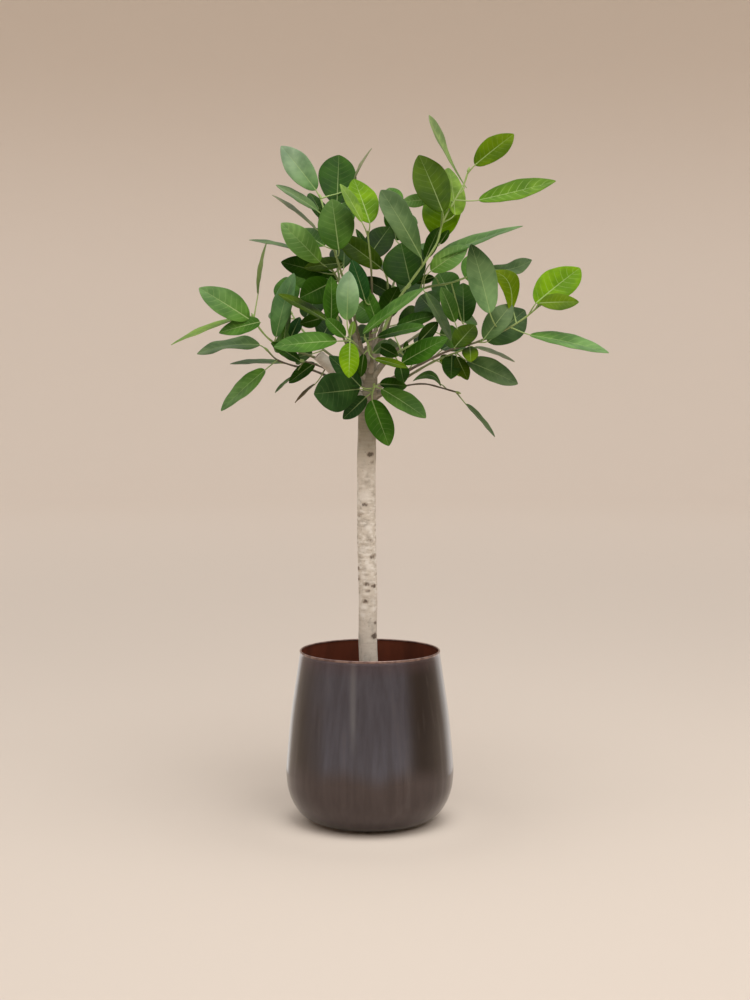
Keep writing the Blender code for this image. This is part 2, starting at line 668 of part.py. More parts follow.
def blade_point(leaf, axes, t, across):
    """Place on a blade: t from base to tip, across from -1 to 1 over the midrib."""
    base, length, width, along, side, normal = axes
    half = blade_half_width(t) * width / 2
    rise = 4 * t * (1 - t)
    lift = BLADE_ARCH * length * rise + BLADE_FOLD * half * abs(across)
    lift += BLADE_WAVE * half * across * math.sin(WAVE_RUN * t + WAVE_START * length)
    bow_x, bow_z = leaf.bow
    bow = Vector((bow_x, 0.0, bow_z)) * METRES_PER_PIXEL * rise
    return base + along * (length * t) + side * (half * across) + normal * lift + bow


def nearest_on_line(line, wanted):
    """The point of a line of straight runs that lies nearest to a wanted one."""
    found = []
    for start, end in zip(line, line[1:]):
        _, share = intersect_point_line(wanted, start, end)
        found.append(start.lerp(end, min(max(share, 0.0), 1.0)))
    return min(found, key=lambda point: (point - wanted).length)


def stalk_ring(centre, heading, blade_side):
    """Six points square round a stalk: left, middle, right on top and back underneath."""
    side = (blade_side - heading * blade_side.dot(heading)).normalized()
    up = heading.cross(side)
    offsets = [side * across + up * rise for across, rise in STALK_CORNERS]
    return [centre + offset * STALK_RADIUS for offset in offsets]


def blade_ring(leaf, axes, t):
    """Six points round a blade in the same order as a stalk's."""
    normal = axes[5]
    edge = normal * (BLADE_THICKNESS / 2)
    rib = normal * (MIDRIB_THICKNESS / 2 if t < 1 else BLADE_THICKNESS / 2)
    left, middle, right = (blade_point(leaf, axes, t, across) for across in (-1, 0, 1))
    return [left + edge, middle + rib, right + edge, right - edge, middle - rib, left - edge]


def build_leaf(name, leaf, axes, stem_line, collection):
    """A leaf in one loft: from a round stalk sunk in the stem to a flat folded blade."""
    base, length, _, along, side, _ = axes
    wanted = base - along * (STALK_SHARE * length)
    root = nearest_on_line(stem_line, wanted)
    span = (base - root).length
    rings = [stalk_ring(root, (base - root) / span, side)]
    if span > LONG_STALK or (base - root).angle(along) > SHARP_TURN:
        knee = base - along * min(max(KNEE_SHARE * span, KNEE_LEAST), KNEE_MOST)
        rising = (knee - root).normalized()
        rings = [stalk_ring(root, rising, side)]
        rings.append(stalk_ring(knee, (rising + along).normalized(), side))
    rings += [blade_ring(leaf, axes, t) for t in BLADE_ROWS]
    shape = bmesh.new()
    rows = [[shape.verts.new(point) for point in ring] for ring in rings]
    shape.faces.new(rows[0])
    shape.faces.new(rows[-1])
    for row, following in zip(rows, rows[1:]):
        for i in range(len(row)):
            j = (i + 1) % len(row)
            # The cut runs outwards from the midrib on both sides of the blade.
            if i in (1, 4):
                shape.faces.new((row[i], row[j], following[j]))
                shape.faces.new((row[i], following[j], following[i]))
            else:
                shape.faces.new((row[i], row[j], following[i]))
                shape.faces.new((row[j], following[j], following[i]))
    bmesh.ops.remove_doubles(shape, verts=shape.verts, dist=MERGE_DISTANCE)
    bmesh.ops.triangulate(shape, faces=shape.faces)
    bmesh.ops.recalc_face_normals(shape, faces=shape.faces)
    mesh = bpy.data.meshes.new(name)
    shape.to_mesh(mesh)
    shape.free()
    return mesh_object(name, mesh, collection)


def stem_tube(shoot, collection):
    """A shoot's green stem with a pointed bud at its end, and the line that it follows."""
    _, line = limb_lines(shoot)
    bud = line[-1] + (line[-1] - line[-2]).normalized() * BUD_LENGTH
    radii = [*spread(STEM_BASE_RADIUS, STEM_TIP_RADIUS, len(line)), BUD_TIP_RADIUS]
    return tube(shoot.name, [*line, bud], radii, TWIG_SIDES, collection), line[1:]


def build_shoot(shoot, material, home):
    """One leafy shoot: stem, leaf stalks and blades in one body."""
    stem, line = stem_tube(shoot, home)
    pieces = make_collection(shoot.name + "_pieces")
    for number, leaf in enumerate(shoot.leaves):
        build_leaf(f"{shoot.name}_leaf_{number}", leaf, leaf_axes(leaf), line, pieces)
    joined = unite(stem, pieces)
    joined.data.materials.clear()
    joined.data.materials.append(material)


def main():
    for old in list(bpy.data.objects):
        bpy.data.objects.remove(old)
    home = make_collection("potted_bengal_fig")
    build_pot(home)
    build_soil(home)
    build_trunk(home)
    green = make_material("fig leaf", *LEAF_GREEN)
    for shoot in SHOOTS:
        build_shoot(shoot, green, home)


if __name__ == "__main__":
    main()
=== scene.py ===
"""Looks of a young standard Bengal fig in a dark bronze pot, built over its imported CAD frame.

Each leaf and branch is placed by a pixel of the front view and a depth in millimetres behind the
trunk, as in the frame. The finer pieces here keep the frame's forms and add veins, bark and soil.
"""

import math
import random
from collections import namedtuple

import bmesh
import bpy
from bpy.props import FloatProperty, FloatVectorProperty, IntProperty, PointerProperty
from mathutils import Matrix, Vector, noise
from mathutils.geometry import intersect_point_line


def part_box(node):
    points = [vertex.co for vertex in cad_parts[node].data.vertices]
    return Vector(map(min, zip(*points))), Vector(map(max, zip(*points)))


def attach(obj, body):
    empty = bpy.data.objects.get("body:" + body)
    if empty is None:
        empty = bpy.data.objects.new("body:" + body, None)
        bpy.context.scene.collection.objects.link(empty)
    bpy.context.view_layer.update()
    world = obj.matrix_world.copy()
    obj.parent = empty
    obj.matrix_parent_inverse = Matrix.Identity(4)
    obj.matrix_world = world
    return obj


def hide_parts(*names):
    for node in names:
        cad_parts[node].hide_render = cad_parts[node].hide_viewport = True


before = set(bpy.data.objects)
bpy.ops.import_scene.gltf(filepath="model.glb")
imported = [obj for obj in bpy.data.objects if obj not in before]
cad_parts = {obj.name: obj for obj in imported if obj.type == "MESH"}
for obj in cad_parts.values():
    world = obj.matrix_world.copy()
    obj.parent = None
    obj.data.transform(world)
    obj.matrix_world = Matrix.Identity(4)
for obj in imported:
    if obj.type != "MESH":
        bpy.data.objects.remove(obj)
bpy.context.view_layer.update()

bl_info = {
    "name": "Potted Bengal fig",
    "version": (1, 0, 0),
    "blender": (4, 5, 0),
    "location": "View3D > Sidebar > Fig",
    "description": "Builds the looks of a potted Bengal fig round its frame",
    "category": "Object",
}

MM = 0.001

# View that the pixels belong to.
METRES_PER_PIXEL = 0.00217
POT_AXIS_PX = 370
POT_FOOT_PX = 819
EYE = Vector((0.011, -3.6, 0.96))
PICTURE_HEIGHT_PX = 1000
HORIZON_PX = POT_FOOT_PX - EYE.z / METRES_PER_PIXEL
SENSOR = 36.0

# Pot, its height from the frame.
POT_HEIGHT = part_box("pot")[1].z
POT_WALL = 0.002
POT_LIP = 0.0021
POT_FOOT_RADIUS = 0.087
POT_STEPS = 160
POT_ROWS = 60
LIP_START = math.radians(-45)
LIP_END = math.radians(225)
LIP_POINTS = 14
# Radius and height of the outside, from the lip down to the foot.
POT_OUTSIDE = (
    (0.1512, 0.3630),
    (0.1620, 0.2900),
    (0.1710, 0.2260),
    (0.1768, 0.1660),
    (0.1814, 0.1100),
    (0.1814, 0.1095),
    (0.1805, 0.0960),
    (0.1776, 0.0730),
    (0.1672, 0.0440),
    (0.1475, 0.0180),
    (0.1210, 0.0045),
    (POT_FOOT_RADIUS, 0.0),
)
# Place in the outline of the crease where the wall meets the rounded bowl.
CREASE = 5

# Marks of the pot's metal, among them painted reflections and a painted highlight. Sides are shares of
# its radius, to the right of its middle.
# Middle of a painted bluish reflection on the upper wall, which turns warmer towards the sides.
BLUISH_REFLECTION_SIDE = -0.08
# Painted pale highlight: a narrow upright strip on the upper wall, and the heights where it fades in.
HIGHLIGHT_SIDE = -0.19
HIGHLIGHT_HEIGHTS = (0.15, 0.25)
# Middle of a painted dark reflection that runs up the right of the wall.
DARK_REFLECTION_SIDE = 0.62
FLUSHED_HEIGHTS = (0.88 * POT_HEIGHT, 0.99 * POT_HEIGHT)
# Heights where the wall's painted bluish reflection passes into the bowl's painted brown reflection of
# the floor.
BOWL_EDGE_HEIGHTS = (0.105, 0.155)
STREAK_SCALE = (60, 60, 1.4)
SMEAR_SCALE = (11, 11, 1.2)
DENT_SCALE = (14, 14, 3)
WARM_BRONZE = (0.060, 0.046, 0.038)
# Colour of the painted highlight.
HIGHLIGHT_BRONZE = (0.215, 0.225, 0.255)
# Colour of that painted dark reflection.
DARK_REFLECTION_BRONZE = (0.022, 0.015, 0.013)
FLUSHED_BRONZE = (0.130, 0.088, 0.100)
DARK_STREAKS = (0.040, 0.031, 0.029)
PALE_STREAKS = (0.150, 0.135, 0.135)
INSIDE_SCALE = (20, 20, 5)
DARK_INSIDE = (0.055, 0.016, 0.008)
# Painted highlight of the lip's rounded edge, and the duller colour where it is worn.
LIP_HIGHLIGHT = (0.30, 0.20, 0.17)
WORN_LIP = (0.16, 0.10, 0.09)

# Soil.
SOIL_TOP = 0.303
SOIL_CROWN = 0.006
SOIL_SKIRT = 0.03
SOIL_GAP = 0.0015
SOIL_MIDDLE = 0.004
SOIL_RINGS = 56
SOIL_STEPS = 160
CLOD_FREQUENCY = 55
CRUMB_FREQUENCY = 170
SOIL_SHADE = 0.35
SOIL_CRACKS = (0.012, 0.008, 0.006)

# Bark chips. A pair holds the least and the most that a chip draws. Widths are half ones, as
# shares of its length.
CHIP_SEED = 11
CHIP_LENGTHS = (0.005, 0.018)
CHIP_WIDTHS = (0.2, 0.42)
CHIP_HALF_THICKNESSES = (0.0008, 0.0022)
CHIP_TILTS = (-0.35, 0.35)
CHIP_ROLLS = (-0.3, 0.3)
CHIP_STRETCHES = (0.58, 1.0)
CHIP_CORNERS = 7
CHIP_TOP_SHARE = 0.88
CHIP_LIFT = 0.0008
CHIP_CLEARANCE = 0.002
CHIP_GRAIN_SCALE = (90, 400, 120)
DARK_CHIP = (0.055, 0.028, 0.015)
PALE_CHIP = (0.22, 0.125, 0.065)
CHIP_GRAIN = (0.03, 0.017, 0.01)

# Trunk and wood.
TRUNK_FOOT_PX = 368.8
TRUNK_FOOT_DEPTH = 0.02
TRUNK_COLLAR_RISE = 0.03
FOOT_SWELL_TOP = 0.02
FOOT_SWELL_RUN = 0.04
FOOT_SWELL = 0.001
TRUNK_LUMP_SCALE = Vector((28, 28, 16))
TRUNK_LUMPS = 0.0007
KNOT_RISE = 0.0009
KNOT_FLATNESS = 1.5
TRUNK_RING_STEP = 0.0022
# How far below its fork the trunk starts to look young and to take the crown's painted shadow, and over
# what height it comes to do so.
YOUNG_AND_SHADED_BELOW_FORK = 0.135
YOUNG_AND_SHADED_RUN = 0.095
YOUNG_AND_SHADED_MOST = 0.9
YOUNG_AND_SHADED_UNEVENNESS = 0.016
LIMB_BASE_RADIUS = 0.0062
LIMB_END_RADIUS = 0.0040
LIMB_OVERLAP = 0.004
LIMB_LUMPS = 0.0005
LIMB_SIDES = 14
LIMB_RING_STEP = 0.005

# Colours of the bark and of the pruned end.
SCALY_HEIGHT = 0.60
BARK_CLOUD_SCALE = (60, 60, 30)
BARK_RING_SCALE = (14, 14, 150)
BARK_FLAKE_SCALE = (62, 62, 150)
BARK_SPECK_SCALE = (210, 210, 150)
BARK_SHADE = 0.52
BARK_RINGS = (0.26, 0.21, 0.16)
PALE_FLAKES = (0.80, 0.76, 0.70)
DARK_FLAKES = (0.27, 0.21, 0.155)
BARK_SPECKS = (0.20, 0.15, 0.11)
PALE_PATCHES = (0.84, 0.80, 0.74)
YOUNG_RINGS = (0.26, 0.22, 0.145)
KNOT_HALO = (0.30, 0.22, 0.155)
CUT_HEART = (0.13, 0.05, 0.035)
CUT_WOOD = (0.36, 0.30, 0.23)

# Stems, buds and stalks.
STEM_BASE_RADIUS = 0.0036
STEM_TIP_RADIUS = 0.0019
STEM_THINNING = 0.6
STEM_SIDES = 12
KNOB_SWELL = 0.10
KNOB_RUN = 0.9
STEM_AGE = 1.2
BUD_LENGTH = 0.012
BUD_RADIUS = 0.0030
BUD_RINGS = 9
# Half turns of the sine that a bud's radius follows, and its power.
BUD_TURNS = (0.30, 0.98)
BUD_BLUNTNESS = 0.8
STALK_RADII = (0.00175, 0.00105)
STALK_SHARE = 0.24
STALK_HANDLE = 0.5
STALK_STEP = 0.003
STALK_SIDES = 10
STALK_AGE = 0.22
# Where a stalk ends: how far along the blade, and how far under it.
STALK_REACH = 0.06
STALK_DROP = 0.0008
RIPE_STEM = (0.105, 0.080, 0.048)
STEM_FLECKS = (0.36, 0.36, 0.22)

# Blades.
BLADE_THICKNESS = 0.0008
MIDRIB_RISE = 0.0011
MIDRIB_WIDTH = 0.0016
MIDRIB_THINNING = 0.75
MIDRIB_GROOVE = 0.22
BLADE_START = 0.02
BLADE_RATIO = 0.5
BLADE_WIDEST = 0.075
BLADE_SKEW = 0.92
BLADE_FULLNESS = 0.62
BLADE_ARCH = 0.02
BLADE_FOLD = 0.2
BLADE_CURL = 0.35
FOLD_SOFTNESS = 0.12
# How much more pointed a blade's tip is than its base.
BLADE_POINT = 0.16
# How far a blade's two halves differ, as a share of their width, and where on the blade.
BLADE_UNEVENNESS = 0.07
UNEVEN_RUN = 4.3
UNEVEN_START = 900
HALVES_APART = 1.9
BLADE_WAVE = 0.03
WAVE_RUN = 9
WAVE_START = 200
BLADE_RIPPLE = 0.015
RIPPLE_RUN = 23
RIPPLE_START = 340
# Places across a blade's half, from the midrib to the edge.
HALF_COLUMNS = (0.04, 0.1, 0.2, 0.33, 0.47, 0.61, 0.74, 0.85, 0.93, 0.98, 1.0)
# A shoot's leaves draw from this seed and the shoot's number.
FIRST_SHOOT_SEED = 100

# Leaf colours. The first two multiply a leaf's own tone, and the others are mixed into it.
DEEP_SHARES = (0.66, 0.72, 0.60)
FRESH_SHARES = (1.22, 1.16, 1.06)
SIDE_VEINS = (0.58, 0.68, 0.28)
MIDRIB = (0.50, 0.60, 0.26)
UNDERSIDE = (0.30, 0.40, 0.18)
UNDERSIDE_VEINS = (0.48, 0.58, 0.28)
# Colour of the light that passes through a blade, and how it grows with the blade's own green.
THROUGH_COLOUR = (0.38, 1.0, 0.08)
THROUGH_GAIN = 1.5
# Width of the midrib's line at base and tip, and of a side vein at the midrib and the edge.
RIB_WIDTHS = (0.0012, 0.0004)
VEIN_WIDTHS = (0.085, 0.045)
# How side veins slant and curve outwards, and how far one half's are set off from the other's.
VEIN_SLANT = 0.145
VEIN_CURVE = 1.35
VEIN_OFFSET = 0.028

# Floor: its flat radius, the sweep's height and the wall above it, and its inner rings.
FLOOR_RADIUS = 9.0
FLOOR_SWEEP = 4.0
FLOOR_WALL = 3.0
FLOOR_RINGS = (0.5, 3.0)
FLOOR_SWEEP_START = 0.1
FLOOR_SWEEP_RINGS = 12
FLOOR_STEPS = 96
# Painted shade: the floor is darker near its middle, where the top lamp lights it most, and reaches its
# full colour at its radius.
FLOOR_SHADED_NEAR_SHARE = 0.80
# Painted shade high on the upswept rim.
FLOOR_SHADED_HIGH_SHARES = (0.82, 0.79, 0.75)
# Colour of the painted light on the floor at the pot's foot, which lifts the pot's contact shadow.
FLOOR_LIT_AT_FOOT = (0.93, 0.83, 0.73)

# Lamps: name, place, width and height, share of the power, colour, and the rays that see it.
CROWN_AIM = (0, 0, 1.2)
SOFT_LAMPS = (
    ("top", (0.4, -0.9, 3.8), (2.4, 2.2), 1.0, (1.0, 0.99, 0.97), ("diffuse", "glossy")),
    ("front", (1.4, -3.0, 2.8), (1.8, 1.8), 0.4, (1.0, 0.98, 0.95), ("diffuse",)),
)
POT_AIM = (0, 0, 0.11)
PANEL_COLOUR = (0.88, 0.94, 1.0)
POT_PANELS = (
    ("left_panel", (-0.34, 0.43, 0.17), (0.22, 0.36), 0.65, PANEL_COLOUR, ("glossy",)),
    ("right_panel", (0.42, 0.40, 0.19), (0.32, 0.42), 1.0, PANEL_COLOUR, ("glossy",)),
)
SKY_COLOUR = (1.0, 0.98, 0.96)

# A leaf: where its blade starts and ends, how wide it is seen, how deep its base lies and how much
# deeper its tip, how its middle is bowed across and up in pixels, its tone, where it is widest
# (above 1 towards the tip) and how wavy it is. A leaf without a lean gets a usual length.
Leaf = namedtuple(
    "Leaf",
    "base_px tip_px seen_px depth lean bow tone skew wave",
    defaults=(None, (0, 0), "mid", BLADE_SKEW, BLADE_WAVE),
)
# Ripe is how brown a shoot's stem is, and girth how thick it is beside the others.
Shoot = namedtuple("Shoot", "name wood_px stem_px leaves ripe girth", defaults=(0.6, 1.0))

# Leaf tones: the upper side's red, green and blue from 0 to 255 at the blade's base and at its tip, and
# how far its side veins show. Besides the leaves' own greens they hold painted light: where a tone is
# paler and bluer at its tip, that is a painted sheen; palest and glint are lifted against the shade on
# their leaves; the dark and deep tones are partly painted shade.
TONES = {
    # The pale tones' bluish tips are a painted sheen; palest is also lifted against shade.
    "pale": ((100, 140, 80), (150, 170, 152), 0.10),
    "palest": ((116, 162, 92), (166, 192, 168), 0.10),
    "pale_striped": ((108, 136, 66), (132, 152, 100), 0.34),
    "blue_green": ((86, 132, 66), (110, 148, 108), 0.14),
    "sheen": ((88, 134, 44), (116, 152, 100), 0.30),
    "glint": ((122, 168, 66), (150, 188, 124), 0.60),
    # Painted shade on the curled-over tip, over a pale bluish painted sheen at the base.
    "shade_tipped": ((134, 170, 118), (46, 64, 28), 0.12),
    "dusky": ((42, 74, 26), (54, 86, 46), 0.12),
    "grey": ((84, 114, 62), (104, 126, 92), 0.12),
    "dun": ((140, 146, 112), (152, 152, 126), 0.05),
    "light": ((74, 120, 32), (88, 128, 58), 0.26),
    "striped": ((86, 128, 12), (104, 138, 44), 0.50),
    "mild": ((68, 108, 30), (84, 118, 58), 0.16),
    "mid": ((54, 102, 14), (72, 114, 38), 0.18),
    # Dark and deep are partly painted shade.
    "dark": ((36, 74, 0), (48, 84, 14), 0.10),
    "deep": ((28, 54, 0), (36, 62, 6), 0.06),
    "slate": ((62, 96, 46), (88, 112, 80), 0.12),
    "blue_dark": ((32, 76, 22), (50, 94, 52), 0.10),
    "bright": ((110, 152, 0), (118, 158, 8), 0.34),
    "arch": ((126, 154, 14), (96, 118, 8), 0.16),
    "olive": ((88, 118, 0), (96, 124, 4), 0.16),
    "olive_dark": ((60, 88, 0), (74, 100, 8), 0.12),
    "young": ((122, 158, 46), (136, 166, 82), 0.24),
    "dry": ((98, 78, 42), (110, 84, 50), 0.10),
}

# Each point of a branch: pixel across, pixel down, depth in millimetres.
TRUNK_LINE = (
    (367.8, 640, 0),
    (368.2, 600, 0),
    (366.8, 540, 0),
    (366.5, 480, 0),
    (367.0, 430, 0),
    (367.6, 405, 0),
    (370.5, 385, 0),
    (371.5, 370, 2),
    (369.0, 356, 4),
    (367.5, 346, 6),
)
# Place in that line where the limbs start.
TRUNK_FORK = 5
TRUNK_RADII = (0.0202, 0.0201, 0.0203, 0.0203, 0.0200, 0.0190, 0.0150, 0.0120, 0.0090, 0.0072)
PRUNED_LIMB = ((366, 409, 0), (353, 393, -6), (337, 373, -14), (318, 355, -22))
PRUNED_LIMB_RADIUS = 0.0138
# How far the limb swells where it leaves the trunk, and over what share of its length.
PRUNED_LIMB_FLARE = 0.0055
PRUNED_LIMB_COLLAR = 0.55
PRUNED_LIMB_THINNING = 0.1
PRUNED_LIMB_LUMPS = 0.0009
PRUNED_LIMB_SIDES = 28
# How young its bark looks, and how much younger where it leaves the trunk, where the trunk's painted
# shadow of the crown runs on into it.
PRUNED_LIMB_YOUTH = 0.25
PRUNED_ROOT_YOUTH_AND_SHADE = 0.45
# Rings of the cut end as shares of its radius, and how far they and its middle stand out.
CUT_RINGS = (0.92, 0.7, 0.45, 0.2)
CUT_RINGS_RISE = 0.0012
CUT_MIDDLE_RISE = 0.001
# How young a thin limb looks where it leaves the trunk.
LIMB_YOUTH = 0.55

# Knots of the trunk: pixel across, pixel down, size in millimetres, darkness.
KNOTS = (
    (371, 454, 11, 1.0),
    (373, 462, 8, 0.5),
    (365, 504, 9, 0.75),
    (361, 515, 9, 0.7),
    (372, 540, 8, 0.6),
    (373, 556, 9, 0.75),
    (359, 568, 8, 0.8),
    (358, 579, 7, 0.7),
    (367, 583, 9, 0.75),
    (374, 585, 8, 0.85),
    (368, 590, 7, 0.7),
    (365, 600, 9, 0.8),
    (376, 622, 8, 0.7),
    (375, 635, 12, 1.0),
)
# Pale patches of the trunk, as the knots are given.
PATCHES = (
    (364, 495, 22, 0.7),
    (369, 527, 12, 0.8),
    (363, 549, 12, 0.7),
    (370, 566, 12, 0.8),
    (363, 576, 10, 0.7),
    (363, 606, 11, 1.0),
    (374, 608, 10, 0.9),
    (363, 614, 10, 0.8),
)
# Farthest place of a mark from the trunk's middle, as a share of its radius.
MARK_LIMIT = 0.95
# Knots on the trunk's back, with the least and the most of what each one draws.
HIDDEN_KNOTS = 14
HIDDEN_KNOT_SEED = 5
HIDDEN_KNOT_ANGLES = (0.1, math.pi - 0.1)
HIDDEN_KNOT_HEIGHTS = (SOIL_TOP + 0.06, 0.84)
HIDDEN_KNOT_SIZES = (3, 7)
HIDDEN_KNOT_STRENGTHS = (0.5, 1.0)

